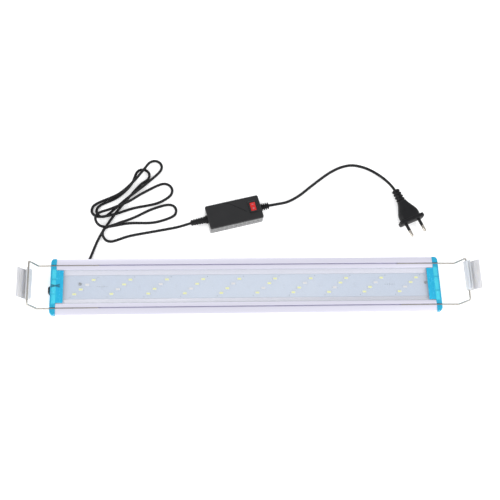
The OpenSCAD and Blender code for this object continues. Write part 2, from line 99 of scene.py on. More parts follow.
class Wire:
    """A number socket that adds Math nodes when it stands in an expression."""

    def __init__(self, bench: "Bench", socket: bpy.types.NodeSocket) -> None:
        """Wraps the output socket that carries the number, and the tree it belongs to."""
        self.bench = bench
        self.socket = socket

    def _math(self, operation: str, *values: Any, clamp: bool = False) -> "Wire":
        """Adds one Math node.

        Args:
            operation: The node's operation.
            values: What goes into it, in order.
            clamp: Whether the result is kept between 0 and 1.

        Returns:
            The node's result.
        """
        made = self.bench.node("ShaderNodeMath", {"operation": operation, "use_clamp": clamp},
                               dict(enumerate(values)))
        return Wire(self.bench, made.outputs[0])

    def __add__(self, other: Any) -> "Wire":
        """Adds a number or a wire."""
        return self._math("ADD", self, other)

    __radd__ = __add__

    def __sub__(self, other: Any) -> "Wire":
        """Takes a number or a wire away."""
        return self._math("SUBTRACT", self, other)

    def __rsub__(self, other: Any) -> "Wire":
        """Takes this wire away from a number."""
        return self._math("SUBTRACT", other, self)

    def __mul__(self, other: Any) -> "Wire":
        """Multiplies by a number or a wire."""
        return self._math("MULTIPLY", self, other)

    __rmul__ = __mul__

    def __truediv__(self, other: Any) -> "Wire":
        """Divides by a number or a wire."""
        return self._math("DIVIDE", self, other)

    def __rtruediv__(self, other: Any) -> "Wire":
        """Divides a number by this wire."""
        return self._math("DIVIDE", other, self)

    def __abs__(self) -> "Wire":
        """Gives the size without the sign."""
        return self._math("ABSOLUTE", self)

    def most(self, other: Any) -> "Wire":
        """Gives the larger of the two."""
        return self._math("MAXIMUM", self, other)

    def rise(self, start: float, end: float) -> "Wire":
        """Goes from 0 at start to 1 at end, and stays within them.

        Args:
            start: Where the ramp leaves 0.
            end: Where it reaches 1; it may be below start.

        Returns:
            The ramp.
        """
        gain = 1.0 / (end - start)
        return self._math("MULTIPLY_ADD", self, gain, -start * gain, clamp=True)


class Bench:
    """One node tree that is being wired, for a finish or for repeated shapes."""

    def __init__(self, tree: bpy.types.NodeTree) -> None:
        """Takes the tree to wire."""
        self.tree = tree

    def node(self, kind: str, settings: Mapping[str, Any] | None = None,
             sockets: Mapping[Any, Any] | None = None) -> bpy.types.Node:
        """Adds one node.

        Args:
            kind: The node's type.
            settings: Its own settings, such as an operation, or a ramp's stops.
            sockets: Values, sockets or wires for its inputs, by name or number.

        Returns:
            The node.
        """
        made = self.tree.nodes.new(kind)
        for key, value in (settings or {}).items():
            if key == "stops":
                ramp = made.color_ramp
                while len(ramp.elements) < len(value):
                    ramp.elements.new(0.5)
                for element, (position, colour) in zip(ramp.elements, value):
                    element.position = position
                    element.color = colour
            else:
                setattr(made, key, value)
        for key, value in (sockets or {}).items():
            self.feed(made.inputs[key], value)
        return made

    def feed(self, socket: bpy.types.NodeSocket, value: Any) -> None:
        """Gives an input its links or its value.

        Args:
            socket: The input.
            value: A wire, an output socket, a list of these, or a plain value.
        """
        for source in value if isinstance(value, list) else [value]:
            end = source.socket if isinstance(source, Wire) else source
            if isinstance(end, bpy.types.NodeSocket):
                self.tree.links.new(end, socket)
            else:
                socket.default_value = end


class Paint(Bench):
    """A material's tree, with the patterns that the finishes share."""

    def __init__(self, name: str) -> None:
        """Makes an empty material.

        Args:
            name: The material's name.
        """
        self.material = bpy.data.materials.new(name)
        self.material.use_nodes = True
        super().__init__(self.material.node_tree)
        self.tree.nodes.clear()
        self.place = self.node("ShaderNodeTexCoord").outputs["Object"]

    def turned(self, scale: Spot = (1, 1, 1), turn: float = 0.0) -> bpy.types.NodeSocket:
        """Gives the object's coordinates turned about Z and stretched.

        Args:
            scale: Stretch along each axis.
            turn: Turn in degrees.

        Returns:
            The vector socket.
        """
        made = self.node("ShaderNodeMapping", {}, {
            "Vector": self.place, "Rotation": (0, 0, math.radians(-turn)), "Scale": scale})
        return made.outputs[0]

    def axes(self, place: bpy.types.NodeSocket | None = None) -> tuple[Wire, Wire, Wire]:
        """Gives the three coordinates in millimetres.

        Args:
            place: A vector socket, or the object's own coordinates if left out.

        Returns:
            X, Y and Z.
        """
        split = self.node("ShaderNodeSeparateXYZ", {}, {0: place or self.place})
        x, y, z = (Wire(self, out) * (1 / MM) for out in split.outputs)
        return x, y, z

    def noise(self, per_mm: float, detail: float = 2.0, rough: float = 0.5,
              place: bpy.types.NodeSocket | None = None) -> Wire:
        """Gives cloudy noise from about 0.2 to 0.8.

        Args:
            per_mm: How many blobs lie on a millimetre.
            detail: Octaves.
            rough: How strong the finer octaves are.
            place: The vector that the noise follows.

        Returns:
            The noise.
        """
        made = self.node("ShaderNodeTexNoise", {}, {
            "Vector": place or self.place, "Scale": per_mm / MM, "Detail": detail,
            "Roughness": rough})
        return Wire(self, made.outputs[0])

    def tint(self, factor: Any, low: Any, high: Any) -> bpy.types.NodeSocket:
        """Mixes two colours.

        Args:
            factor: 0 gives low and 1 gives high.
            low: A colour or a colour socket.
            high: A colour or a colour socket.

        Returns:
            The mixed colour.
        """
        made = self.node("ShaderNodeMix", {"data_type": "RGBA"},
                         {0: factor, 6: opaque(low), 7: opaque(high)})
        return made.outputs[2]

    def bump(self, height: Wire, depth: float, strength: float = 1.0) -> bpy.types.NodeSocket:
        """Turns a height pattern into a normal.

        Args:
            height: The pattern, from 0 to 1.
            depth: Its depth in millimetres.
            strength: How much of it shows.

        Returns:
            The normal.
        """
        made = self.node("ShaderNodeBump", {}, {
            "Height": height, "Distance": depth * MM, "Strength": strength})
        return made.outputs[0]

    def close(self, sockets: Mapping[str, Any]) -> bpy.types.Material:
        """Ends the tree in one Principled shader.

        Args:
            sockets: The shader's values and links, by name.

        Returns:
            The material.
        """
        shader = self.node("ShaderNodeBsdfPrincipled", {}, sockets)
        self.node("ShaderNodeOutputMaterial", {}, {"Surface": shader.outputs[0]})
        return self.material


def opaque(colour: Any) -> Any:
    """Gives a colour of three numbers its alpha, and leaves a socket as it is."""
    return (*colour, 1.0) if isinstance(colour, tuple) and len(colour) == 3 else colour


# ---------- finishes ----------


@dataclass(frozen=True)
class Finish:
    """A surface that can be put on pieces."""

    name: str

    def make(self) -> bpy.types.Material:
        """Builds the finish's material."""
        raise NotImplementedError

    def material(self) -> bpy.types.Material:
        """Gives the material, built once."""
        return bpy.data.materials.get(self.name) or self.make()


@dataclass(frozen=True)
class Moulded(Finish):
    """Moulded plastic or rubber with a fine eroded texture, soft blotches and light scuffs."""

    colour: Spot
    worn: Spot
    roughness: float = 0.45
    grain: float = 3.0
    depth: float = 0.012
    blotch: float = 0.06
    specular: float = 0.5
    coat: float = 0.0
    coat_below: float = 1000.0
    translucent: float = 0.0

    def make(self) -> bpy.types.Material:
        """Builds the finish's material."""
        paint = Paint(self.name)
        height = paint.axes()[2]
        polish = height.rise(self.coat_below, self.coat_below - 1.0) * self.coat
        cloud = paint.noise(self.blotch, 4.0, 0.62)
        grain = paint.noise(self.grain, 2.0, 0.6)
        scuff = paint.noise(0.35, 5.0, 0.72, paint.turned((1, 3.2, 1), 20)).rise(0.60, 0.74)
        worn = cloud * 0.55 + scuff * 0.35 + grain * 0.18
        return paint.close({
            "Base Color": paint.tint(worn, self.colour, self.worn),
            "Roughness": cloud * 0.10 + grain * 0.05 + scuff * 0.06 + (self.roughness - 0.08),
            "Normal": paint.bump(grain + scuff * 0.2, self.depth, 0.6),
            "Specular IOR Level": self.specular,
            "Coat Weight": polish,
            "Coat Roughness": 0.16,
            "Coat IOR": 1.75,
            "Subsurface Weight": self.translucent,
            "Subsurface Radius": (1.0, 1.0, 1.0),
            "Subsurface Scale": 0.0012,
        })


@dataclass(frozen=True)
class Drawn(Finish):
    """Metal with lines from drawing or brushing along one direction."""

    colour: Spot
    dull: Spot
    roughness: float = 0.3
    along: Spot = (0.02, 1.0, 1.0)
    turn: float = 0.0
    lines: float = 5.0
    depth: float = 0.004

    def make(self) -> bpy.types.Material:
        """Builds the finish's material."""
        paint = Paint(self.name)
        place = paint.turned(self.along, self.turn)
        line = paint.noise(self.lines, 3.0, 0.65, place)
        haze = paint.noise(0.05, 4.0, 0.6)
        speck = paint.noise(0.9, 3.0, 0.7).rise(0.66, 0.8)
        worn = haze * 0.55 + line * 0.3 + speck * 0.25
        return paint.close({
            "Base Color": paint.tint(worn, self.colour, self.dull),
            "Roughness": line * 0.12 + haze * 0.10 + speck * 0.1 + (self.roughness - 0.10),
            "Metallic": 1.0,
            "Normal": paint.bump(line, self.depth, 0.5),
        })


@dataclass(frozen=True)
class Anodised(Finish):
    """Satin aluminium with faint extrusion lines; painted shade in its wire grooves and on its
    slopes.
    """

    colour: Spot = (0.720, 0.708, 0.800)
    dull: Spot = (0.650, 0.638, 0.735)
    # deep: painted shade inside the wire grooves.
    deep: Spot = (0.640, 0.625, 0.750)
    # slope and shaded: painted shade on the slopes beside the board; shaded is the near side,
    # painted darker.
    slope: Spot = (0.570, 0.545, 0.600)
    shaded: Spot = (0.470, 0.445, 0.485)

    def make(self) -> bpy.types.Material:
        """Builds the finish's material."""
        paint = Paint(self.name)
        _, y, z = paint.axes()
        line = paint.noise(2.4, 3.0, 0.7, paint.turned((0.004, 1.0, 1.0)))
        haze = paint.noise(0.03, 4.0, 0.55, paint.turned((0.5, 1.0, 1.0)))
        side = abs(y)
        # Painted shade: the wire grooves are darkened towards deep.
        groove = abs(side - WIRE_Y).rise(1.5, 1.0) * z.rise(12.3, 11.9) * z.rise(8.9, 9.1)
        # Painted shade on the slopes under the cover, darker still on the near (-Y) side.
        slope_shade_mask = side.rise(21.35, 21.25) * z.rise(8.2, 8.6)
        skin = paint.tint(line * 0.6 + haze * 0.5, self.colour, self.dull)
        painted_slope_shade = paint.tint(y.rise(0.5, -0.5), self.slope, self.shaded)
        skin = paint.tint(slope_shade_mask * 0.85, skin, painted_slope_shade)
        return paint.close({
            "Base Color": paint.tint(groove, skin, self.deep),
            "Roughness": line * 0.16 + haze * 0.12 + 0.30,
            "Metallic": 0.55,
            "Normal": paint.bump(line, 0.006, 0.5),
            "Specular IOR Level": 0.4,
        })


@dataclass(frozen=True)
class TintedCap(Finish):
    """Translucent blue plastic, deeper where solid, with painted light over its hollows, painted
    shade on its ribs and a painted shadow of its leads.
    """

    deep: Spot = (0.006, 0.345, 0.545)
    # pale: painted light over the hollows, and also the pale flow marks of the mould.
    pale: Spot = (0.055, 0.590, 0.740)
    lip: Spot = (0.004, 0.400, 0.650)
    shade: Spot = (0.006, 0.300, 0.520)
    # Painted shadow of the leads seen through the plastic.
    lead: Spot = (0.004, 0.050, 0.10)

    def make(self) -> bpy.types.Material:
        """Builds the finish's material."""
        paint = Paint(self.name)
        x, y, z = paint.axes()
        end = abs(x)
        ghost = paint.noise(0.16, 3.0, 0.6)
        flow = paint.noise(0.5, 4.0, 0.6, paint.turned((1.0, 0.35, 1.0)))
        left = x.rise(1.0, -1.0)
        middle = (abs(y + left * 1.2) - left * 1.2).rise(9.2, 7.0)
        sides = abs(abs(y) - 15.6).rise(7.2, 4.8)
        # Painted light: paler over the hollows, where light shows through the thin walls.
        hollow = middle.most(sides) * end.rise(CAP_END - 1.4, CAP_END - 2.8) \
            * end.rise(BAR_END - 0.4, BAR_END + 0.6)
        on_lip = end.rise(BAR_END + 0.2, BAR_END - 0.4)
        # Painted shade along the ribs between the hollows.
        rib = abs(abs(y) - 9.4).rise(1.4, 0.4) * end.rise(BAR_END - 0.1, BAR_END + 0.5)
        # Painted shadow of the two crossed leads, seen through the plastic above them.
        twist = (x + (BAR_END + 1.0)) * 0.26
        pair = abs(y - 1.0 - twist).rise(1.4, 0.5).most(abs(y - 1.0 + twist).rise(1.4, 0.5))
        leads = pair * x.rise(5.4 - BAR_END, 4.2 - BAR_END) \
            * x.rise(0.4 - CAP_END, 1.6 - CAP_END) * z.rise(10.5, 11.5)
        skin = paint.tint(hollow * (ghost * 0.5 + 0.68), self.deep, self.pale)
        skin = paint.tint(on_lip * 0.9, skin, self.lip)
        skin = paint.tint(rib * 0.15, skin, self.shade)
        skin = paint.tint(leads * 0.82, skin, self.lead)
        skin = paint.tint(flow.rise(0.35, 0.75) * 0.16, skin, self.pale)
        return paint.close({
            "Base Color": skin,
            "Roughness": flow * 0.12 + 0.20,
            "Normal": paint.bump(flow, 0.02, 0.35),
            "Coat Weight": 0.35,
            "Coat Roughness": 0.08,
            "Subsurface Weight": 0.35,
            "Subsurface Radius": (0.25, 1.0, 1.4),
            "Subsurface Scale": 0.0018,
            "Transmission Weight": 0.12,
            "IOR": 1.46,
        })


@dataclass(frozen=True)
class ClearSheet(Finish):
    """Clear plastic sheet with a bluish cast, faint haze and hairline scratches."""

    colour: Spot = (0.80, 0.88, 0.96)
    hazy: Spot = (0.86, 0.92, 0.97)

    def make(self) -> bpy.types.Material:
        """Builds the finish's material."""
        paint = Paint(self.name)
        haze = paint.noise(0.04, 4.0, 0.6)
        scratch = paint.noise(1.6, 2.0, 0.8, paint.turned((0.03, 1.0, 1.0), 6)).rise(0.68, 0.76)
        _, y, _ = paint.axes()
        edge = abs(y).rise(20.3, 21.1)
        return paint.close({
            "Base Color": paint.tint(haze, self.colour, self.hazy),
            "Roughness": haze * 0.08 + scratch * 0.25 + 0.06,
            "Alpha": haze * 0.05 + scratch * 0.04 + edge * 0.25 + 0.10,
            "Normal": paint.bump(scratch, 0.004, 0.3),
            "Specular IOR Level": 0.35,
        })


@dataclass(frozen=True)
class SolderMask(Finish):
    """White solder mask with faint copper areas under it, and painted shade at its long edges and
    towards its ends.
    """

    colour: Spot = (0.428, 0.464, 0.540)
    copper: Spot = (0.400, 0.437, 0.515)
    # ends: painted shade, darker towards the board's ends.
    ends: Spot = (0.368, 0.405, 0.490)
    # rim: painted shade along the board's long edges.
    rim: Spot = (0.32, 0.36, 0.44)

    def make(self) -> bpy.types.Material:
        """Builds the finish's material."""
        paint = Paint(self.name)
        bricks = paint.node("ShaderNodeTexBrick", {"offset": 0.5, "squash": 1.0}, {
            "Vector": paint.turned(), "Color1": (1, 1, 1, 1), "Color2": (0.6, 0.6, 0.6, 1),
            "Mortar": (0, 0, 0, 1), "Scale": 1.0 / MM, "Mortar Size": 0.25, "Mortar Smooth": 0.6,
            "Bias": 0.0, "Brick Width": 11.1, "Row Height": 6.0})
        area = Wire(paint, bricks.outputs[1])
        cloud = paint.noise(0.05, 4.0, 0.6)
        fine = paint.noise(1.8, 3.0, 0.6)
        x, y, _ = paint.axes()
        # Painted shade: darker along the long edges.
        rim = abs(y).rise(14.2, 14.9)
        # Painted shade: darker towards the ends.
        ends = abs(x).rise(40.0, 225.0)
        skin = paint.tint(area * 0.5 + cloud * 0.45, self.colour, self.copper)
        skin = paint.tint(ends, skin, self.ends)
        return paint.close({
            "Base Color": paint.tint(rim * 0.45, skin, self.rim),
            "Roughness": cloud * 0.12 + fine * 0.06 + 0.36,
            "Normal": paint.bump(area * -1.0 + fine * 0.15, 0.03, 0.5),
        })


@dataclass(frozen=True)
class Filling(Finish):
    """Silicone over phosphor: a grainy soft surface with paler clouds."""

    colour: Spot
    pale: Spot

    def make(self) -> bpy.types.Material:
        """Builds the finish's material."""
        paint = Paint(self.name)
        grain = paint.noise(4.0, 3.0, 0.7)
        cloud = paint.noise(0.5, 3.0, 0.6)
        return paint.close({
            "Base Color": paint.tint(grain * 0.5 + cloud * 0.45, self.colour, self.pale),
            "Roughness": grain * 0.1 + 0.22,
            "Normal": paint.bump(grain, 0.02, 0.5),
            "Coat Weight": 0.2,
        })


@dataclass(frozen=True)
class Milky(Finish):
    """Milky translucent plastic with flow lines from its mould, and painted shade greying the outer
    leaf.
    """

    colour: Spot = (0.700, 0.728, 0.765)
    pale: Spot = (0.800, 0.822, 0.850)
    # outer: painted shade on the outer leaf; middle_x and leaf_x place it.
    outer: Spot = (0.690, 0.680, 0.690)
    middle_x: float = 4.0
    leaf_x: Point = (268.5, 271.5)

    def make(self) -> bpy.types.Material:
        """Builds the finish's material."""
        paint = Paint(self.name)
        flow = paint.noise(0.22, 4.0, 0.6, paint.turned((1.0, 0.3, 1.0)))
        fine = paint.noise(2.2, 2.0, 0.5)
        # Painted shade: the outer leaf is greyer and darker.
        outer_leaf_shade = abs(paint.axes()[0] - self.middle_x).rise(*self.leaf_x)
        skin = paint.tint(flow, self.colour, self.pale)
        return paint.close({
            "Base Color": paint.tint(outer_leaf_shade * 0.7, skin, self.outer),
            "Roughness": flow * 0.14 + fine * 0.05 + 0.24,
            "Normal": paint.bump(flow + fine * 0.2, 0.03, 0.35),
            "Subsurface Weight": 0.3,
            "Subsurface Radius": (1.0, 1.1, 1.3),
            "Subsurface Scale": 0.0012,
            "Transmission Weight": 0.30,
            "IOR": 1.45,
        })


class Finishes:
    """Every finish on the light, under the words that its maker would use."""

    extrusion = Anodised("satin_anodised_extrusion")
    cap = TintedCap("translucent_blue_cap")
    cover = ClearSheet("clear_cover_sheet")
    mask = SolderMask("white_solder_mask")
    phosphor = Filling("phosphor_in_silicone", (0.62, 0.62, 0.12), (0.70, 0.69, 0.27))
    blue_chip = Filling("unlit_blue_led", (0.55, 0.505, 0.485), (0.63, 0.585, 0.55))
    led_frame = Moulded("led_package_white", (0.50, 0.53, 0.58), (0.57, 0.60, 0.64), 0.38)
    tinned = Drawn("tinned_pads", (0.62, 0.63, 0.66), (0.42, 0.43, 0.46), 0.28)
    print_grey = Moulded("board_print_grey", (0.13, 0.15, 0.17), (0.19, 0.21, 0.24), 0.5)
    ceramic = Moulded("resistor_glaze", (0.46, 0.50, 0.58), (0.52, 0.56, 0.63), 0.3)
    chip = Moulded("chip_epoxy_black", (0.012, 0.012, 0.014), (0.035, 0.035, 0.038), 0.5)
    screw = Drawn("zinc_plated_screw", (0.50, 0.51, 0.53), (0.26, 0.27, 0.29), 0.30)
    board_screw = Drawn("dull_board_screw", (0.26, 0.26, 0.26), (0.13, 0.13, 0.13), 0.42)
    steel = Drawn("drawn_steel_wire", (0.55, 0.525, 0.49), (0.38, 0.355, 0.32), 0.28)
    clip = Milky("milky_clip")
    pvc = Moulded("black_cord_pvc", (0.005, 0.005, 0.006), (0.013, 0.013, 0.014), 0.42,
                  grain=1.6, depth=0.02, specular=0.18)
    rubber = Moulded("black_soft_pvc", (0.005, 0.005, 0.006), (0.012, 0.012, 0.013), 0.48,
                     grain=2.4, depth=0.015, specular=0.18)
    shell = Moulded("driver_shell_black", (0.009, 0.009, 0.010), (0.018, 0.018, 0.019), 0.42,
                    grain=2.8, depth=0.016, specular=0.34, coat=1.0, coat_below=14.0)
    # Painted sheen: the ribs are the shell's black plastic, painted lighter grey for the floor's
    # reflection on the sides.
    ribbing = Moulded("driver_ribbing_black", (0.055, 0.055, 0.056), (0.110, 0.110, 0.112), 0.34,
                      grain=2.8, depth=0.012, specular=0.60, coat=1.0, coat_below=14.6)
    nylon = Moulded("switch_nylon_black", (0.008, 0.008, 0.009), (0.018, 0.018, 0.019), 0.36,
                    depth=0.006, specular=0.4)
    rocker = Moulded("glossy_red_nylon", (0.43, 0.014, 0.014), (0.52, 0.030, 0.030), 0.30,
                     grain=1.2, depth=0.004, specular=0.25, translucent=0.05)
    marks = Moulded("rocker_mark_grey", (0.24, 0.17, 0.20), (0.34, 0.26, 0.29), 0.4)
    nickel = Drawn("nickel_pins", (0.56, 0.52, 0.47), (0.40, 0.37, 0.33), 0.24,
                   along=(1.0, 0.05, 1.0), turn=-67.3)
    green = Moulded("green_solder_mask", (0.02, 0.12, 0.05), (0.04, 0.18, 0.08), 0.35)
    ferrite = Moulded("ferrite_core", (0.03, 0.028, 0.026), (0.07, 0.065, 0.06), 0.6)
    sleeve = Moulded("capacitor_sleeve", (0.02, 0.03, 0.09), (0.05, 0.06, 0.14), 0.3)
    red_lead = Moulded("red_lead", (0.30, 0.012, 0.012), (0.42, 0.03, 0.03), 0.35)
    black_lead = Moulded("black_lead", (0.012, 0.012, 0.013), (0.03, 0.03, 0.032), 0.35)


# ---------- shapes ----------


def arc(centre: Point, radius: float, start: float, end: float, steps: int) -> list[Point]:
    """Gives points along an arc.

    Args:
        centre: Its centre.
        radius: Its radius.
        start: First angle in degrees.
        end: Last angle in degrees.
        steps: How many parts it has.

    Returns:
        One point more than steps.
    """
    angles = [math.radians(start + (end - start) * i / steps) for i in range(steps + 1)]
    return [(centre[0] + radius * math.cos(a), centre[1] + radius * math.sin(a)) for a in angles]


def filleted(corners: Sequence[tuple[float, float, float]], steps: int = 4) -> list[Point]:
    """Rounds each corner of a closed outline by its own radius.

    Args:
        corners: The corners as x, y and radius; 0 leaves a corner sharp.
        steps: Parts of each rounding.

    Returns:
        The outline's points.
    """
    made: list[Point] = []
    for i, (x, y, radius) in enumerate(corners):
        here = Vector((x, y))
        if radius <= 0:
            made.append((x, y))
            continue
        back = (Vector(corners[i - 1][:2]) - here).normalized()
        on = (Vector(corners[(i + 1) % len(corners)][:2]) - here).normalized()
        half = math.acos(max(-1.0, min(1.0, back.dot(on)))) / 2
        middle = here + (back + on).normalized() * (radius / math.sin(half))
        first = here + back * (radius / math.tan(half)) - middle
        last = here + on * (radius / math.tan(half)) - middle
        sweep = first.angle_signed(last)
        for k in range(steps + 1):
            made.append(tuple(middle + Matrix.Rotation(-sweep * k / steps, 2) @ first))
    return made


def rounded_box(width: float, height: float, radius: float, steps: int = 4,
                at: Point = (0.0, 0.0)) -> list[Point]:
    """Gives a rectangle with round corners.

    Args:
        width: Size along x.
        height: Size along y.
        radius: Corner radius.
        steps: Parts of each corner.
        at: The middle.

    Returns:
        Its points, anticlockwise.
    """
    w, h = width / 2, height / 2
    made: list[Point] = []
    for turn, (sx, sy) in enumerate([(1, 1), (-1, 1), (-1, -1), (1, -1)]):
        made += arc((at[0] + sx * (w - radius), at[1] + sy * (h - radius)), radius,
                    90 * turn, 90 * turn + 90, steps)
    return made


def inset(outline: Sequence[Point], by: float) -> list[Point]:
    """Moves a closed anticlockwise outline inwards by a small amount.

    Args:
        outline: Its points.
        by: How far.

    Returns:
        As many points.
    """
    made = []
    count = len(outline)
    for i, (x, y) in enumerate(outline):
        a = Vector(outline[i - 1])
        b = Vector(outline[(i + 1) % count])
        here = Vector((x, y))
        one, two = (here - a), (b - here)
        one = one.normalized() if one.length > 1e-6 else two.normalized()
        two = two.normalized() if two.length > 1e-6 else one
        n1, n2 = Vector((-one.y, one.x)), Vector((-two.y, two.x))
        step = (n1 + n2) / max(0.35, 1 + n1.dot(n2))
        made.append(tuple(here + step * by))
    return made


def flat(outline: Sequence[Point], z: float) -> list[Spot]:
    """Lays an outline at a height."""
    return [(x, y, z) for x, y in outline]


def upright(outline: Sequence[Point], x: float) -> list[Spot]:
    """Stands an outline of Y and Z at a place along X."""
    return [(x, y, z) for y, z in outline]


def circle(radius: float, sides: int) -> list[Point]:
    """Gives a circle's points, anticlockwise."""
    angles = [2 * math.pi * k / sides for k in range(sides)]
    return [(radius * math.cos(a), radius * math.sin(a)) for a in angles]


def eased(radius: float, top: float, steps: int) -> list[Point]:
    """Gives the inset and the height of each level of a rounded upper rim."""
    angles = [math.pi / 2 * k / steps for k in range(steps + 1)]
    return [(radius * (1 - math.cos(a)), top - radius + radius * math.sin(a)) for a in angles]


def plates(levels: Sequence[tuple[float, float, float, float]], steps: int,
           at: Point = (0.0, 0.0)) -> list[Ring]:
    """Lays a rectangle with round corners at each level.

    Args:
        levels: The size along x and along y, the corner radius and the height of each.
        steps: Parts of each corner.
        at: Their middle.

    Returns:
        One ring for each level.
    """
    return [flat(rounded_box(w, h, r, steps, at), z) for w, h, r, z in levels]


def curve_points(route: Sequence[Spot], spacing: float, floor: float) -> list[Vector]:
    """Gives the smooth curve through a route.

    Args:
        route: The points that it passes through, in millimetres.
        spacing: Distance between its points.
        floor: The lowest height of its middle line.

    Returns:
        The curve's points.
    """
    p = [Vector(q) for q in route]
    p = [2 * p[0] - p[1], *p, 2 * p[-1] - p[-2]]
    made: list[Vector] = []
    for a, b, c, d in zip(p, p[1:], p[2:], p[3:]):
        parts = max(2, round((c - b).length / spacing))
        for k in range(parts):
            t = k / parts
            made.append(0.5 * (2 * b + (c - a) * t + (2 * a - 5 * b + 4 * c - d) * t * t
                               + (3 * b - a - 3 * c + d) * t * t * t))
    made.append(p[-2])
    for q in made:
        q.z = max(q.z, floor)
    return made


def length_of(points: Sequence[Vector]) -> float:
    """Gives the length of a run of points."""
    return sum((b - a).length for a, b in zip(points, points[1:]))


class Mould:
    """Collects rings of points in millimetres and casts them as one object."""

    def __init__(self) -> None:
        """Starts empty."""
        self.points: list[Sequence[float]] = []
        self.faces: list[list[int]] = []

    def loft(self, rings: Sequence[Ring], joined: bool = False) -> "Mould":
        """Skins a run of rings that have equal numbers of points.

        Args:
            rings: The rings.
            joined: Whether the last ring meets the first, as in a frame. The ends are closed
                otherwise.

        Returns:
            The mould itself.
        """
        count = len(rings[0])
        base = len(self.points)
        for ring in rings:
            self.points.extend(ring)
        runs = len(rings) if joined else len(rings) - 1
        for i in range(runs):
            low, high = base + i * count, base + ((i + 1) % len(rings)) * count
            for k in range(count):
                m = (k + 1) % count
                self.faces.append([low + k, low + m, high + m, high + k])
        if not joined:
            self.faces.append([base + k for k in reversed(range(count))])
            self.faces.append([base + (len(rings) - 1) * count + k for k in range(count)])
        return self

    def lathe(self, profile: Sequence[Point], sides: int = 32, at: Spot = (0, 0, 0),
              joined: bool = False) -> "Mould":
        """Turns a profile of distance along X and radius about the X axis.

        Args:
            profile: The points.
            sides: How many sides the round has.
            at: Where the profile's zero lies.
            joined: Whether the profile closes on itself, as a tube's does.

        Returns:
            The mould itself.
        """
        rings = [[(at[0] + x, at[1] + y, at[2] + z) for y, z in circle(r, sides)]
                 for x, r in profile]
        return self.loft(rings, joined)

    def block(self, low: Spot, high: Spot, radius: float = 0.2, steps: int = 2) -> "Mould":
        """Adds a block whose upright and upper edges are rounded.

        Args:
            low: Lowest corner.
            high: Highest corner.
            radius: Edge radius.
            steps: Parts of each rounding.

        Returns:
            The mould itself.
        """
        size = [h - l for l, h in zip(low, high)]
        middle = ((low[0] + high[0]) / 2, (low[1] + high[1]) / 2)
        levels = [(radius, low[2]), (0.0, low[2] + radius), *eased(radius, high[2], steps)]
        return self.loft(plates([(size[0] - 2 * d, size[1] - 2 * d, max(radius * 1.2 - d, 0.04), z)
                                 for d, z in levels], 3, middle))

    def cast(self, name: str, place: Matrix | None = None,
             crease: float = 35.0) -> bpy.types.Object:
        """Makes the object.

        Args:
            name: The piece's name.
            place: Where the shape goes, in millimetres.
            crease: Edges sharper than this many degrees stay crisp.

        Returns:
            The object, in metres.
        """
        put = place or Matrix.Identity(4)
        mesh = bpy.data.meshes.new(name)
        mesh.from_pydata([(put @ Vector(p)) * MM for p in self.points], [], self.faces)
        work = bmesh.new()
        work.from_mesh(mesh)
        bmesh.ops.remove_doubles(work, verts=work.verts, dist=1e-7)
        bmesh.ops.recalc_face_normals(work, faces=work.faces)
        work.to_mesh(mesh)
        work.free()
        smooth(mesh, crease)
        made = bpy.data.objects.new(name, mesh)
        bpy.context.scene.collection.objects.link(made)
        return made


def smooth(mesh: bpy.types.Mesh, crease: float) -> None:
    """Shades a mesh smooth, with crisp edges past an angle in degrees."""
    mesh.shade_smooth()
    mesh.set_sharp_from_angle(angle=math.radians(crease))


def settle(piece: bpy.types.Object) -> bpy.types.Object:
    """Turns a piece and its modifiers into a plain mesh.

    Args:
        piece: The piece.

    Returns:
        The same object, with the result as its mesh.
    """
    bpy.context.view_layer.update()
    shown = piece.evaluated_get(bpy.context.evaluated_depsgraph_get())
    mesh = bpy.data.meshes.new_from_object(shown, preserve_all_data_layers=True,
                                           depsgraph=bpy.context.evaluated_depsgraph_get())
    piece.modifiers.clear()
    old = piece.data
    piece.data = mesh
    mesh.name = piece.name
    bpy.data.meshes.remove(old)
    return piece


def carve(piece: bpy.types.Object, cutters: Sequence[bpy.types.Object],
          operation: str = "DIFFERENCE", crease: float = 35.0) -> bpy.types.Object:
    """Cuts shapes out of a piece, or joins them to it, and discards them.

    Args:
        piece: The piece.
        cutters: The shapes.
        operation: The Boolean operation.
        crease: The crease angle afterwards, in degrees.

    Returns:
        The piece.
    """
    for cutter in cutters:
        change = piece.modifiers.new("cut", "BOOLEAN")
        change.operation = operation
        change.solver = "EXACT"
        change.object = cutter
    settle(piece)
    for cutter in cutters:
        discard(cutter)
    smooth(piece.data, crease)
    return piece


def discard(helper: bpy.types.Object) -> None:
    """Removes a helper object and its mesh."""
    data = helper.data
    bpy.data.objects.remove(helper)
    bpy.data.meshes.remove(data)


def seat(piece: bpy.types.Object, body: Body, finish: Finish | None,
         stands_for: Sequence[str] = ()) -> bpy.types.Object:
    """Gives a finished piece its material and body, and hides the CAD nodes it replaces.

    Args:
        piece: The piece.
        body: The body that it rides on.
        finish: Its finish, or None where the tree has set it.
        stands_for: The CAD nodes that it replaces.

    Returns:
        The piece.
    """
    if finish is not None:
        piece.data.materials.clear()
        piece.data.materials.append(finish.material())
    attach(piece, body.value)
    if stands_for:
        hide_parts(*stands_for)
    log.info("%s rides on %s", piece.name, body.value)
    return piece


# ---------- repeated and swept shapes ----------


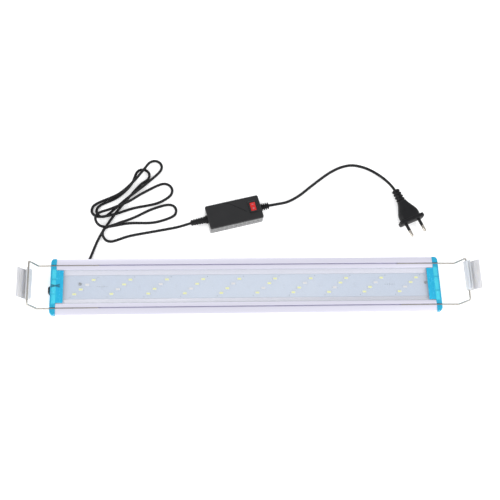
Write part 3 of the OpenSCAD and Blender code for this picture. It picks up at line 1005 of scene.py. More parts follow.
class Jig(Bench):
    """A Geometry Nodes tree with named sizes, whose result becomes a plain mesh."""

    def __init__(self, name: str) -> None:
        """Starts the tree.

        Args:
            name: The tree's name.
        """
        super().__init__(bpy.data.node_groups.new(name, "GeometryNodeTree"))
        self.sizes: dict[str, Any] = {}
        face = self.tree.interface
        face.new_socket("Geometry", in_out="INPUT", socket_type="NodeSocketGeometry")
        face.new_socket("Geometry", in_out="OUTPUT", socket_type="NodeSocketGeometry")
        self.entry = self.node("NodeGroupInput")

    def size(self, name: str, kind: str, value: Any) -> Wire:
        """Adds a named input.

        Args:
            name: Its name.
            kind: Its socket's short type, such as Float.
            value: What it is given.

        Returns:
            The input as a wire.
        """
        item = self.tree.interface.new_socket(name, in_out="INPUT",
                                              socket_type=f"NodeSocket{kind}")
        self.sizes[item.identifier] = value
        return Wire(self, self.entry.outputs[name])

    def attribute(self, name: str, kind: str = "FLOAT") -> Wire:
        """Reads an attribute that the points hold."""
        made = self.node("GeometryNodeInputNamedAttribute", {"data_type": kind}, {"Name": name})
        return Wire(self, made.outputs["Attribute"])

    def close(self, shape: Any, finish: Finish) -> None:
        """Ends the tree: makes instances real and sets the material.

        Args:
            shape: The geometry.
            finish: The finish of the whole shape.
        """
        coat = self.size("Finish", "Material", finish.material())
        shaded = self.node("GeometryNodeSetShadeSmooth", {},
                           {"Geometry": shape, "Shade Smooth": True})
        real = self.node("GeometryNodeRealizeInstances", {}, {"Geometry": shaded.outputs[0]})
        dressed = self.node("GeometryNodeSetMaterial", {},
                            {"Geometry": real.outputs[0], "Material": coat})
        self.node("NodeGroupOutput", {}, {0: dressed.outputs[0]})

    def cast(self, piece: bpy.types.Object, crease: float = 35.0) -> bpy.types.Object:
        """Runs the tree on a piece and keeps the result as its mesh.

        Args:
            piece: The object that holds the tree's starting geometry.
            crease: The crease angle in degrees.

        Returns:
            The piece.
        """
        change = piece.modifiers.new(self.tree.name, "NODES")
        change.node_group = self.tree
        for identifier, value in self.sizes.items():
            change[identifier] = value
        settle(piece)
        smooth(piece.data, crease)
        bpy.data.node_groups.remove(self.tree)
        return piece


def scaffold(name: str, points: Sequence[Sequence[float]], edges: Sequence[tuple[int, int]] = (),
             faces: Sequence[Sequence[int]] = (),
             notes: Mapping[str, Sequence[Any]] | None = None) -> bpy.types.Object:
    """Makes the bare geometry that a tree starts from.

    Args:
        name: The object's name.
        points: Its points in millimetres.
        edges: Its edges.
        faces: Its faces.
        notes: Attributes of the points: numbers, or triples for vectors.

    Returns:
        The object.
    """
    mesh = bpy.data.meshes.new(name)
    mesh.from_pydata([Vector(p) * MM for p in points], list(edges), [list(f) for f in faces])
    for key, values in (notes or {}).items():
        triple = isinstance(values[0], (tuple, list))
        kept = mesh.attributes.new(key, "FLOAT_VECTOR" if triple else "FLOAT", "POINT")
        for item, value in zip(kept.data, values):
            if triple:
                item.vector = value
            else:
                item.value = value
    made = bpy.data.objects.new(name, mesh)
    bpy.context.scene.collection.objects.link(made)
    return made


def swept_wire(name: str, path: Sequence[Spot], bends: Sequence[float], radius: float,
               finish: Finish, sides: int = 20, ends: float = 0.7) -> bpy.types.Object:
    """Bends a round wire along a path with a tree.

    Args:
        name: The piece's name.
        path: The corners of the path, in millimetres.
        bends: The bend's radius at each corner.
        radius: The wire's radius.
        finish: Its finish.
        sides: Sides of its round.
        ends: How thick the rounded ends are, as a share.

    Returns:
        The piece.
    """
    first, second = Vector(path[0]), Vector(path[1])
    last, before = Vector(path[-1]), Vector(path[-2])
    nose = radius * 0.35
    points = [first, first + (second - first).normalized() * nose, *map(Vector, path[1:-1]),
              last + (before - last).normalized() * nose, last]
    thick = [ends, *[1.0] * (len(points) - 2), ends]
    turn = [0.0, 0.0, *[b * MM for b in bends[1:-1]], 0.0, 0.0]
    piece = scaffold(name, points, [(i, i + 1) for i in range(len(points) - 1)],
                     notes={"thick": thick, "bend": turn})
    jig = Jig(name + "_tree")
    wire_radius = jig.size("Wire radius", "Float", radius * MM)
    around = jig.size("Sides", "Int", sides)
    parts = jig.size("Parts of a bend", "Int", 10)
    line = jig.node("GeometryNodeMeshToCurve", {}, {"Mesh": jig.entry.outputs[0]})
    bent = jig.node("GeometryNodeFilletCurve", {"mode": "POLY"}, {
        "Curve": line.outputs[0], "Count": parts, "Radius": jig.attribute("bend")})
    profile = jig.node("GeometryNodeCurvePrimitiveCircle", {"mode": "RADIUS"}, {
        "Resolution": around, "Radius": wire_radius})
    tube = jig.node("GeometryNodeCurveToMesh", {}, {
        "Curve": bent.outputs[0], "Profile Curve": profile.outputs[0],
        "Scale": jig.attribute("thick"), "Fill Caps": True})
    jig.close(tube.outputs[0], finish)
    return jig.cast(piece, 50.0)


def extruded(name: str, outline: Sequence[Spot], along: Spot, finish: Finish,
             crease: float = 30.0) -> bpy.types.Object:
    """Pushes a flat outline along a vector with a tree.

    Args:
        name: The piece's name.
        outline: The outline's points, in millimetres, at one end.
        along: How far and which way it goes.
        finish: Its finish.
        crease: The crease angle in degrees.

    Returns:
        The piece.
    """
    piece = scaffold(name, outline, faces=[range(len(outline))])
    jig = Jig(name + "_tree")
    reach = jig.size("Reach", "Vector", [a * MM for a in along])
    pushed = jig.node("GeometryNodeExtrudeMesh", {"mode": "FACES"}, {
        "Mesh": jig.entry.outputs[0], "Offset": reach, "Offset Scale": 1.0, "Individual": False})
    back = jig.node("GeometryNodeFlipFaces", {}, {"Mesh": jig.entry.outputs[0]})
    both = jig.node("GeometryNodeJoinGeometry", {}, {0: [pushed.outputs[0], back.outputs[0]]})
    sewn = jig.node("GeometryNodeMergeByDistance", {}, {
        "Geometry": both.outputs[0], "Distance": 1e-6})
    jig.close(sewn.outputs[0], finish)
    jig.cast(piece, crease)
    turn_out(piece.data)
    smooth(piece.data, crease)
    return piece


def turn_out(mesh: bpy.types.Mesh) -> None:
    """Turns a closed mesh's faces outwards."""
    work = bmesh.new()
    work.from_mesh(mesh)
    bmesh.ops.recalc_face_normals(work, faces=work.faces)
    work.to_mesh(mesh)
    work.free()


def scattered(name: str, pattern: bpy.types.Object, spots: Sequence[Spot], finish: Finish,
              turns: Sequence[Spot] | None = None, scales: Sequence[Spot] | None = None,
              wobble: float = 0.0, seed: int = 7, crease: float = 35.0) -> bpy.types.Object:
    """Puts a copy of a pattern at each spot with a tree.

    Args:
        name: The piece's name.
        pattern: The object to copy, which is discarded.
        spots: Where the copies go, in millimetres.
        finish: Their finish.
        turns: Each copy's turn in radians.
        scales: Each copy's stretch.
        wobble: The largest random turn about Z, in degrees.
        seed: The seed of the random turns.
        crease: The crease angle in degrees.

    Returns:
        The piece.
    """
    piece = scaffold(name, spots, notes={
        "turn": [tuple(t) for t in turns or [(0.0, 0.0, 0.0)] * len(spots)],
        "stretch": [tuple(s) for s in scales or [(1.0, 1.0, 1.0)] * len(spots)]})
    jig = Jig(name + "_tree")
    shape = jig.size("Pattern", "Object", pattern)
    loose = jig.size("Wobble", "Float", math.radians(wobble))
    chance = jig.size("Seed", "Int", seed)
    info = jig.node("GeometryNodeObjectInfo", {"transform_space": "ORIGINAL"}, {"Object": shape})
    swing = jig.node("FunctionNodeRandomValue", {"data_type": "FLOAT"},
                     {2: loose * -1.0, 3: loose, "Seed": chance})
    lean = jig.node("ShaderNodeCombineXYZ", {}, {"Z": swing.outputs[1]})
    total = jig.node("ShaderNodeVectorMath", {"operation": "ADD"},
                     {0: jig.attribute("turn", "FLOAT_VECTOR"), 1: lean.outputs[0]})
    placed = jig.node("GeometryNodeInstanceOnPoints", {}, {
        "Points": jig.entry.outputs[0], "Instance": info.outputs["Geometry"],
        "Rotation": total.outputs[0], "Scale": jig.attribute("stretch", "FLOAT_VECTOR")})
    jig.close(placed.outputs[0], finish)
    jig.cast(piece, crease)
    discard(pattern)
    return piece


def ranked(name: str, pattern: bpy.types.Object, count: int, start: Spot, step: Spot, gap: float,
           at: Spot, turn: float, finish: Finish) -> bpy.types.Object:
    """Stands copies of a pattern in two facing rows with a tree.

    Args:
        name: The piece's name.
        pattern: The object to copy, which faces -Y and is discarded.
        count: Copies in a row.
        start: The first copy of the near row, in millimetres.
        step: From one copy to the next.
        gap: From the near row to the far one, which is turned round.
        at: Where the rows' own frame stands.
        turn: The frame's turn about Z in degrees.
        finish: Their finish.

    Returns:
        The piece.
    """
    piece = scaffold(name, [(0, 0, 0)])
    jig = Jig(name + "_tree")
    shape = jig.size("Rib", "Object", pattern)
    number = jig.size("Count", "Int", count)
    origin = jig.size("Start", "Vector", [v * MM for v in start])
    pitch = jig.size("Step", "Vector", [v * MM for v in step])
    across = jig.size("Gap", "Float", gap * MM)
    seat_at = jig.size("Seat", "Vector", [v * MM for v in at])
    twist = jig.size("Turn", "Float", math.radians(turn))
    info = jig.node("GeometryNodeObjectInfo", {"transform_space": "ORIGINAL"}, {"Object": shape})
    row = jig.node("GeometryNodeMeshLine", {"mode": "OFFSET"}, {
        "Count": number, "Start Location": origin, "Offset": pitch})
    near = jig.node("GeometryNodeInstanceOnPoints", {}, {
        "Points": row.outputs[0], "Instance": info.outputs["Geometry"]})
    shift = jig.node("ShaderNodeCombineXYZ", {}, {"Y": across})
    moved = jig.node("GeometryNodeTransform", {}, {
        "Geometry": row.outputs[0], "Translation": shift.outputs[0]})
    far = jig.node("GeometryNodeInstanceOnPoints", {}, {
        "Points": moved.outputs[0], "Instance": info.outputs["Geometry"],
        "Rotation": (0.0, 0.0, math.pi)})
    both = jig.node("GeometryNodeJoinGeometry", {}, {0: [near.outputs[0], far.outputs[0]]})
    angle = jig.node("ShaderNodeCombineXYZ", {}, {"Z": twist})
    put = jig.node("GeometryNodeTransform", {}, {
        "Geometry": both.outputs[0], "Translation": seat_at, "Rotation": angle.outputs[0]})
    jig.close(put.outputs[0], finish)
    jig.cast(piece)
    discard(pattern)
    return piece


# ---------- view, light and floor ----------


@dataclass
class Studio:
    """The camera, the soft lights and the plain floor."""

    spot: Spot = (-0.09021, -0.34898, 1.05702)
    yaw: float = -13.335
    rise: float = 68.773
    roll: float = 12.152
    lens: float = 64.8
    sky: float = 0.62
    lamps: Sequence[tuple[str, Spot, float, float]] = (
        ("left", (-1.35, -0.35, 0.95), 1.1, 15.0),
        ("right", (1.35, -0.25, 0.95), 1.1, 15.0),
        ("front", (0.10, -1.45, 0.85), 1.2, 12.0),
        ("rear", (-0.25, 1.75, 0.80), 1.0, 9.0),
    )

    def camera(self) -> None:
        """Stands the camera."""
        yaw, rise, roll = (math.radians(a) for a in (self.yaw, self.rise, self.roll))
        back = Vector((math.sin(yaw) * math.cos(rise), -math.cos(yaw) * math.cos(rise),
                       math.sin(rise)))
        right = Vector((math.cos(yaw), math.sin(yaw), 0))
        up = back.cross(right)
        level = right.copy()
        right = level * math.cos(roll) + up * math.sin(roll)
        up = up * math.cos(roll) - level * math.sin(roll)
        data = bpy.data.cameras.new("camera")
        data.lens, data.sensor_width = self.lens, 36.0
        data.clip_start, data.clip_end = 0.01, 50.0
        made = bpy.data.objects.new("camera", data)
        turn = Matrix((right, up, back)).transposed().to_4x4()
        made.matrix_world = Matrix.Translation(self.spot) @ turn
        bpy.context.scene.collection.objects.link(made)
        bpy.context.scene.camera = made

    def lights(self) -> None:
        """Hangs the lights and sets the sky."""
        for name, spot, size, power in self.lamps:
            data = bpy.data.lights.new(name, "AREA")
            data.shape, data.size, data.energy = "SQUARE", size, power
            made = bpy.data.objects.new(name, data)
            made.location = spot
            made.rotation_mode = "QUATERNION"
            made.rotation_quaternion = (Vector((0, 0.05, 0)) - Vector(spot)).to_track_quat(
                "-Z", "Y")
            bpy.context.scene.collection.objects.link(made)
        world = bpy.data.worlds.new("studio")
        world.use_nodes = True
        bench = Bench(world.node_tree)
        bench.tree.nodes.clear()
        sky = bench.node("ShaderNodeBackground", {}, {
            "Color": (0.97, 0.98, 1.0, 1.0), "Strength": self.sky})
        bench.node("ShaderNodeOutputWorld", {}, {"Surface": sky.outputs[0]})
        bpy.context.scene.world = world
        bpy.context.scene.view_settings.view_transform = "Standard"

    def floor(self) -> None:
        """Lays the floor."""
        side = 6000.0
        made = Mould().loft(plates([(side, side, 300, -6.0), (side, side, 300, -0.05)], 6)) \
            .cast("studio_floor")
        paint = Paint("pale_floor")
        cloud = paint.noise(0.01, 3.0, 0.5)
        made.data.materials.append(paint.close({
            "Base Color": paint.tint(cloud, (0.90, 0.90, 0.90), (0.92, 0.92, 0.92)),
            "Roughness": 0.8, "Specular IOR Level": 0.1,
            "Emission Color": (1.0, 1.0, 1.0, 1.0), "Emission Strength": 0.30}))

    def build(self) -> None:
        """Builds the whole studio."""
        self.camera()
        self.lights()
        self.floor()


# ---------- cords ----------


@dataclass
class Cord:
    """One round cord that lies along a route."""

    name: str
    node: str
    diameter: float
    route: Sequence[Spot]
    stiffness: str
    far_end: str
    piece: bpy.types.Object | None = None
    length: float = 0.0

    def build(self) -> None:
        """Makes the cord as one curve and seats it."""
        points = curve_points(self.route, 2.2, self.diameter / 2 + 0.03)
        self.length = length_of(points)
        data = bpy.data.curves.new(self.name, "CURVE")
        data.dimensions = "3D"
        data.bevel_depth = self.diameter / 2 * MM
        data.bevel_resolution = 5
        data.use_fill_caps = True
        line = data.splines.new("POLY")
        line.points.add(len(points) - 1)
        for spot, point in zip(line.points, points):
            spot.co = (*(point * MM), 1.0)
        line.use_smooth = True
        self.piece = bpy.data.objects.new(self.name, data)
        bpy.context.scene.collection.objects.link(self.piece)
        seat(self.piece, Body.LAMP, Finishes.pvc, [self.node])

    def declare(self) -> None:
        """Logs the cord's length.
        """
        log.info("%s is %.0f mm long", self.name, self.length)


LAMP_ROUTE: tuple[Spot, ...] = (
    (-237, -3, 1.9), (-221, -2, 1.9), (-206, 14, 1.9), (-195, 38, 1.9), (-183, 69, 1.9),
    (-165, 99, 1.9), (-147, 123, 1.9), (-133.5, 139.5, 1.9), (-123.5, 148, 1.9),
    (-122.5, 156, 1.9), (-129, 161, 1.9), (-137.5, 158, 1.9), (-145.5, 139.5, 1.9),
    (-162, 122.5, 1.9), (-183, 111.5, 1.9), (-188, 103.5, 1.9), (-184, 96.5, 1.9),
    (-176, 96.5, 2.2), (-164.5, 105.5, 5), (-149, 120, 5.4), (-128.5, 138.5, 3),
    (-108.5, 158.5, 1.9), (-107, 168.5, 1.9), (-113.5, 173.5, 1.9), (-121.5, 171, 2.8),
    (-128.5, 160.5, 5.6), (-142, 143, 5.4), (-160.5, 125.5, 5.2), (-188, 113.5, 1.9),
    (-194, 105, 1.9), (-191.5, 98, 3.2), (-183, 94, 5.6), (-165, 97.5, 5.6), (-142, 107, 2),
    (-112, 114, 1.9), (-95, 125, 1.9), (-94, 136, 1.9), (-105, 141, 1.9), (-128, 129, 3),
    (-148, 114, 7.6), (-169.5, 103.5, 9.2), (-186.5, 96.5, 8.8), (-187.5, 87, 5.6),
    (-176.5, 80.5, 5.4), (-147.5, 86.5, 2), (-116.5, 87.5, 1.9), (-93.5, 95, 1.9),
    (-88, 102.5, 1.9), (-91, 110, 1.9), (-100.5, 111.5, 1.9), (-120, 105, 2), (-142, 93, 3.8),
    (-162.5, 83.5, 7.4), (-177.5, 76.5, 7.8), (-178.5, 67.5, 4.2), (-169.5, 62, 1.9),
    (-145.5, 69.5, 1.9), (-112, 76, 1.9), (-87, 80.3, 3.6), (-68.53, 84.93, 6.4))

MAINS_ROUTE: tuple[Spot, ...] = (
    (29.13, 108.47, 6.4), (40, 111, 5.2), (55, 115.5, 2.6), (70, 124, 2), (85, 136, 2),
    (100, 148, 2), (114, 158, 2), (128, 165, 2), (142, 168, 2), (155, 166, 2),
    (168, 160.5, 2), (181, 151, 2.6), (190, 140.5, 4.6), (196.79, 128.88, 6.85))


# ---------- the light bar ----------


@dataclass
class LightBar:
    """The aluminium body, its cover and its board of LEDs."""

    end: float = BAR_END
    half_width: float = BAR_HALF_WIDTH
    top: float = 12.4
    groove_y: float = WIRE_Y
    groove_z: float = WIRE_Z
    groove_r: float = GROOVE_R
    mouth: float = 1.7
    strip: float = 21.4
    cover_top: float = 11.8
    cover_bottom: float = 10.6
    cover_width: float = 42.4
    board_length: float = 462.0
    board_width: float = 30.0
    board_top: float = 8.9
    floor: float = 7.3
    groups: int = 10
    group_pitch: float = 44.4
    step: float = 7.55
    row_pitch: float = 6.0
    screws: Sequence[Point] = ((-204.6, 4.0), (222.5, 2.5))

    def half_outline(self) -> list[Point]:
        """Gives the body's outline of Y and Z, from the middle of its back round to its floor."""
        corners: list[tuple[float, float, float]] = []
        for y in range(2, 27, 4):
            corners += [(y - 0.9, 4.0, 0.15), (y - 0.9, 5.6, 0.2), (y + 0.9, 5.6, 0.2),
                        (y + 0.9, 4.0, 0.15)]
        w = self.half_width
        near, far = self.groove_y - self.mouth / 2, self.groove_y + self.mouth / 2
        corners += [(w - 1, 4.0, 0.4), (w, 5.0, 0.4), (w, self.top - 1, 0.6), (far, self.top, 0.22)]
        high = self.groove_z + math.sqrt(self.groove_r ** 2 - (self.mouth / 2) ** 2)
        turn = math.degrees(math.asin((high - self.groove_z) / self.groove_r))
        bore = arc((self.groove_y, self.groove_z), self.groove_r, turn, -180 - turn, 14)
        outline = [(0.0, 4.0), *filleted(corners + [(far, high, 0.0)], 3)]
        outline += bore[1:-1]
        rest = [(near, high, 0.0), (near, self.top, 0.22), (self.strip, self.cover_top + 0.1, 0.2),
                (self.strip, self.cover_bottom, 0.0), (20.4, self.cover_bottom, 0.1),
                (15.2, self.board_top, 0.1), (15.2, self.floor, 0.0)]
        rounded = filleted([(far, high, 0.0)] + rest + [(0.0, self.floor, 0.0)], 3)
        return outline + rounded[1:]

    def body(self) -> None:
        """Extrudes the aluminium body."""
        right = self.half_outline()
        left = [(-y, z) for y, z in reversed(right[1:-1])]
        outline = right + left
        piece = extruded("bar_extrusion", upright(outline, -self.end), (2 * self.end, 0, 0),
                         Finishes.extrusion, 24.0)
        seat(piece, Body.LAMP, None, ["housing"])

    def cover(self) -> None:
        """Lays the clear cover, with its edges eased."""
        long, wide = 2 * self.end - 0.8, self.cover_width
        low, high = self.cover_bottom, self.cover_top
        rings = plates([(long - 2 * d, wide - 2 * d, 0.5, z) for d, z in [
            (0.2, low), (0.0, low + 0.2), (0.0, high - 0.2), (0.06, high - 0.06), (0.2, high)]], 3)
        seat(Mould().loft(rings).cast("clear_cover"), Body.LAMP, Finishes.cover,
             ["cover_lens"])

    def board(self) -> None:
        """Lays the circuit board."""
        long, wide = self.board_length, self.board_width
        rings = plates([(long - 2 * d, wide - 2 * d, 0.8, z) for d, z in [
            (0.1, self.floor), (0, self.floor + 0.1), (0, self.board_top - 0.12),
            (0.12, self.board_top)]], 3)
        seat(Mould().loft(rings).cast("circuit_board"), Body.LAMP, Finishes.mask,
             ["led_board"])

    @property
    def first_x(self) -> float:
        """Where the first LED stands along the bar."""
        return -((self.groups - 1) * self.group_pitch + 3 * self.step) / 2

    def led_spots(self) -> tuple[list[Spot], list[Spot]]:
        """Gives the places of the white LEDs and of the blue ones."""
        white: list[Spot] = []
        blue: list[Spot] = []
        for g in range(self.groups):
            for row in range(4):
                spot = (self.first_x + g * self.group_pitch + row * self.step,
                        (row - 1.5) * self.row_pitch, self.board_top)
                (blue if row == (2 if g % 2 == 0 else 1) else white).append(spot)
        return white, blue

    def leds(self) -> None:
        """Makes the packages: frames, terminals and the two kinds of filling."""
        white, blue = self.led_spots()
        every = white + blue
        rings = plates([
            (5.30, 2.96, 0.25, 0.02), (5.30, 2.96, 0.25, 0.62), (5.10, 2.76, 0.20, 0.88),
            (4.32, 2.46, 0.30, 0.88), (4.18, 2.30, 0.30, 0.66)], 2)
        pattern = Mould().loft(rings).cast("frame")
        seat(scattered("led_frames", pattern, every, Finishes.led_frame, wobble=1.2, seed=11),
             Body.LAMP, None)
        tabs = Mould()
        for side in (-1, 1):
            for y in (-0.75, 0.75):
                tabs.block((side * 2.55 - 0.28, y - 0.42, 0.0), (side * 2.55 + 0.28, y + 0.42, 0.3),
                           0.06, 1)
        seat(scattered("led_terminals", tabs.cast("tabs"), every, Finishes.tinned, seed=11),
             Body.LAMP, None)
        for name, spots, finish, slot, node in (
                ("phosphor_fillings", white, Finishes.phosphor, Slot.PHOSPHOR, "leds_white"),
                ("blue_led_fillings", blue, Finishes.blue_chip, Slot.BLUE_LED, "leds_blue")):
            dome = Mould().loft(plates([(4.30 - 2 * d, 2.44 - 2 * d, 0.30, z) for d, z in [
                (0.0, 0.62), (0.0, 0.82), (0.2, 0.87), (0.6, 0.895)]], 2))
            seat(scattered(name, dome.cast("dome"), spots, finish, wobble=1.2, seed=11),
                 Body.LAMP, None, [node])

    def pads(self) -> None:
        """Adds the solder beside each package."""
        white, blue = self.led_spots()
        spots = [(x + side * 2.75, y, z) for x, y, z in white + blue for side in (-1, 1)]
        pad = Mould().loft(plates([(0.9, 2.2, 0.2, 0.0), (0.9, 2.2, 0.2, 0.05),
                                   (0.6, 1.8, 0.2, 0.11)], 2))
        seat(scattered("solder_pads", pad.cast("pad"), spots, Finishes.tinned, seed=3), Body.LAMP,
             None)

    def between(self, g: float) -> float:
        """Gives the place along the bar that lies g pitches from the first group's middle."""
        return self.first_x + g * self.group_pitch + 1.5 * self.step

    def resistors(self) -> None:
        """Adds the pair of chip resistors between two groups."""
        chips = [(self.between(g + 0.5), y, self.board_top)
                 for g in range(self.groups - 1) for y in (-1.6, 1.6)]
        core = Mould().block((-0.5, -0.48, 0.0), (0.5, 0.48, 0.44), 0.06, 1)
        seat(scattered("chip_resistor_bodies", core.cast("core"), chips, Finishes.ceramic,
                       wobble=2.0, seed=5), Body.LAMP, None, ["board_resistors"])
        ends = Mould()
        for side in (-1, 1):
            ends.block((side * 0.64 - 0.15, -0.5, 0.0), (side * 0.64 + 0.15, 0.5, 0.45), 0.05, 1)
        seat(scattered("chip_resistor_ends", ends.cast("ends"), chips, Finishes.tinned, wobble=2.0,
                       seed=5), Body.LAMP, None)

    def printing(self) -> None:
        """Prints the plain dashes."""
        dashes: list[Spot] = []
        sizes: list[Spot] = []
        for g in (0, self.groups - 2):
            for k in range(5):
                dashes.append((self.between(g + 0.5) - 6.4 + k * 2.9, 0.7, self.board_top))
                sizes.append((1.0 if k % 2 else 0.7, 1.0, 1.0))
        for g in range(self.groups):
            for side in (-1, 1):
                dashes.append((self.between(g) + side * 16.5, side * 12.6, self.board_top))
                sizes.append((0.6, 1.6, 1.0))
        dash = Mould().loft(plates([(1.6, 0.8, 0.12, 0.0), (1.6, 0.8, 0.12, 0.03)], 2))
        seat(scattered("board_print", dash.cast("dash"), dashes, Finishes.print_grey, scales=sizes,
                       seed=9), Body.LAMP, None)

    def fixings(self) -> None:
        """Adds the two screws that hold the board."""
        spots = [(x, y, self.board_top) for x, y in self.screws]
        seat(scattered("board_screw_heads", cross_screw(2.0, 1.1, 1.2, 2.8), spots,
                       Finishes.board_screw, turns=[(0, 0, 0.5), (0, 0, 1.1)], seed=2, crease=28.0),
             Body.LAMP, None, ["board_screws"])

    def build(self) -> None:
        """Builds the bar."""
        self.body()
        self.board()
        self.leds()
        self.pads()
        self.resistors()
        self.printing()
        self.fixings()
        self.cover()


def cross_screw(head: float, height: float, shank: float, length: float) -> bpy.types.Object:
    """Makes a pan-head screw with a cross recess, head up, its seat at zero.

    Args:
        head: Radius of the head.
        height: Height of the head.
        shank: Radius of the shank.
        length: Length of the shank.

    Returns:
        The object.
    """
    profile = [(shank * 0.6, -length), (shank, -length + 0.4), (shank, 0.0), (head, 0.0),
               (head, height * 0.45), (head * 0.93, height * 0.75), (head * 0.76, height * 0.94),
               (head * 0.5, height)]
    screw = Mould().loft([flat(circle(radius, 24), z) for radius, z in profile]).cast("screw")
    cutters = []
    for turn in (0, 90):
        slot = Mould().loft(plates([(head * 1.15, head * 0.26, 0.03, height * 0.45),
                                    (head * 1.3, head * 0.32, 0.03, height * 1.4)], 1))
        cutters.append(slot.cast("slot", Matrix.Rotation(math.radians(turn), 4, "Z")))
    return carve(screw, cutters, crease=28.0)


# ---------- end caps ----------


@dataclass
class EndCap:
    """One blue cap: a hollow end with a lip over the cover."""

    side: int
    name: str
    node: str
    inner: float = BAR_END
    outer: float = CAP_END
    half_width: float = BAR_HALF_WIDTH
    height: float = CAP_TOP
    lip_reach: float = 8.6
    corner: Point = (2.5, 4.5)
    undercut: Point = (4.0, 5.5)

    def outline(self, d: float, cut: float) -> list[Point]:
        """Gives the cap's outline from above.

        Args:
            d: How far it is inset.
            cut: How much is cut from each end.

        Returns:
            Its points.
        """
        w = self.half_width - cut - d
        near, far = self.inner + d * 0.4, self.outer - d
        side = [(near, -w, 0.3), (far - self.corner[0], -w, 0.9), (far - 0.7, -w + 2.0, 1.0),
                (far, -w + self.corner[1], 1.6)]
        return filleted(side + [(x, -y, r) for x, y, r in reversed(side)], 4)

    def shell(self) -> bpy.types.Object:
        """Makes the cap's solid with its rounded edges."""
        cut, rise = self.undercut
        levels = [(0.45, cut, 0.0), (0.0, cut - 0.35, 0.5), (0.0, 0.2, rise - 0.25),
                  (0.0, 0.0, rise + 0.3)]
        levels += [(d, 0.0, z) for d, z in eased(0.7, self.height, 4)]
        return Mould().loft([flat(self.outline(d, cut), z) for d, cut, z in levels]) \
            .cast(self.name)

    def lip(self) -> bpy.types.Object:
        """Makes the lip that reaches over the cover."""
        low, high = self.inner - self.lip_reach, self.inner + 1.5
        return Mould().block((low, -20.6, 11.85), (high, 20.6, self.height), 0.3, 3).cast("lip")

    def cutters(self) -> list[bpy.types.Object]:
        """Makes the shapes of its hollows, wire slots and screw holes."""
        made = [Mould().block((self.inner - 1, -7.5, 5.0), (self.inner + 4.6, 7.5, 10.6), 0.3)
                .cast("hollow")]
        for s in (-1, 1):
            made.append(Mould().block((self.inner - 1, s * 15 - 5.5, 2.0),
                                      (self.inner + 4.6, s * 15 + 5.5, 10.6), 0.3).cast("hollow"))
            slot = [(-GROOVE_R, WIRE_Z), *arc((0, WIRE_Z), GROOVE_R, 180, 360, 12)[1:-1],
                    (GROOVE_R, WIRE_Z), (1.1, 11.2), (1.1, 12.3), (1.5, 13.6), (-1.5, 13.6),
                    (-1.1, 12.3), (-1.1, 11.2)]
            path = [(s * WIRE_Y + y, z) for y, z in slot]
            made.append(Mould().loft([upright(path, self.inner - 1), upright(path, self.outer + 1)])
                        .cast("wire_slot"))
            bore = [(-8.0, 1.3), (5.0, 1.3), (5.01, 2.3), (8.5, 2.3)]
            made.append(Mould().lathe(bore, 24, (self.inner, s * PORT_Y, PORT_Z)).cast("port"))
        return made

    def way_out(self) -> list[bpy.types.Object]:
        """Makes the shapes of the cord's way out, on the left cap only."""
        spigot = Mould().lathe([(-0.5, 2.35), (9.0, 2.35)], 24, (self.inner, EXIT_Y, EXIT_Z)) \
            .cast("bore")
        notch = Mould().block((self.inner - 2, EXIT_Y - 2.6, -2.0),
                               (self.outer + 2, EXIT_Y + 2.6, 4.1), 0.4).cast("notch")
        return [spigot, notch]

    def build(self) -> None:
        """Builds the cap."""
        piece = carve(self.shell(), [self.lip()], "UNION")
        cutters = self.cutters() + (self.way_out() if self.side < 0 else [])
        carve(piece, cutters)
        if self.side < 0:
            for vertex in piece.data.vertices:
                vertex.co.x = -vertex.co.x
            turn_out(piece.data)
            smooth(piece.data, 35.0)
        seat(piece, Body.LAMP, Finishes.cap, [self.node])


@dataclass
class CapFixings:
    """The screws in the caps, the cord's boot and the leads inside it."""

    head_x: float = CAP_END - 1.9

    def screws(self) -> None:
        """Adds the four screws that hold the caps."""
        places = [(end, side) for end in (-1, 1) for side in (-1, 1)]
        spots = [(end * self.head_x, side * PORT_Y, PORT_Z) for end, side in places]
        turns = [(0.0, end * math.pi / 2, 0.0) for end, _ in places]
        seat(scattered("cap_screw_heads", cross_screw(2.05, 1.2, 1.15, 10.0), spots,
                       Finishes.screw, turns=turns, seed=4, crease=28.0), Body.LAMP,
             None, ["cap_screws"])

    def boot(self) -> None:
        """Makes the black boot on the left cap."""
        mould = Mould()
        middle = (EXIT_Y, 5.4)
        rings = []
        for x, w, h, r in [(-239.9, 9.6, 10.4, 3.0), (-241.0, 9.6, 10.4, 3.0),
                           (-241.6, 9.4, 10.2, 2.9), (-242.1, 9.0, 9.8, 2.8),
                           (-242.45, 8.4, 9.2, 2.6), (-242.6, 7.6, 8.4, 2.4)]:
            rings.append(upright(rounded_box(w, h, r, 6, middle), x))
        mould.loft(rings)
        mould.lathe([(-237.4, 2.0), (-237.6, 2.28), (-239.95, 2.28)], 28, (0, EXIT_Y, EXIT_Z))
        mould.loft([upright(rounded_box(w, h, 0.6, 4, (EXIT_Y, 2.0)), x) for x, w, h in [
            (-239.95, 4.7, 3.6), (-236.3, 4.7, 3.6), (-236.0, 4.0, 3.2)]])
        seat(mould.cast("cord_exit_boot"), Body.LAMP, Finishes.rubber, ["cable_boot"])

    def leads(self) -> None:
        """Bends the two leads that cross on their way to the board."""
        for name, s, finish in (("lead_plus", 1, Finishes.red_lead),
                                ("lead_minus", -1, Finishes.black_lead)):
            path = [(-237.4, 1 + s * 0.9, 9.7), (-235.6, 1 + s * 0.9, 9.8),
                    (-233.0, 1 - s * 0.9, 9.9 + 0.2 * s), (-229.6, 1 - s * 1.4, 9.8),
                    (-228.4, 1 - s * 1.4, 9.0)]
            piece = swept_wire(name, path, [0, 1.2, 1.2, 0.6, 0], 0.55, finish, 12, 0.8)
            seat(piece, Body.LAMP, None, ["lamp_leads"])

    def build(self) -> None:
        """Builds the fixings."""
        self.screws()
        self.boot()
        self.leads()


# ---------- brackets and clips ----------


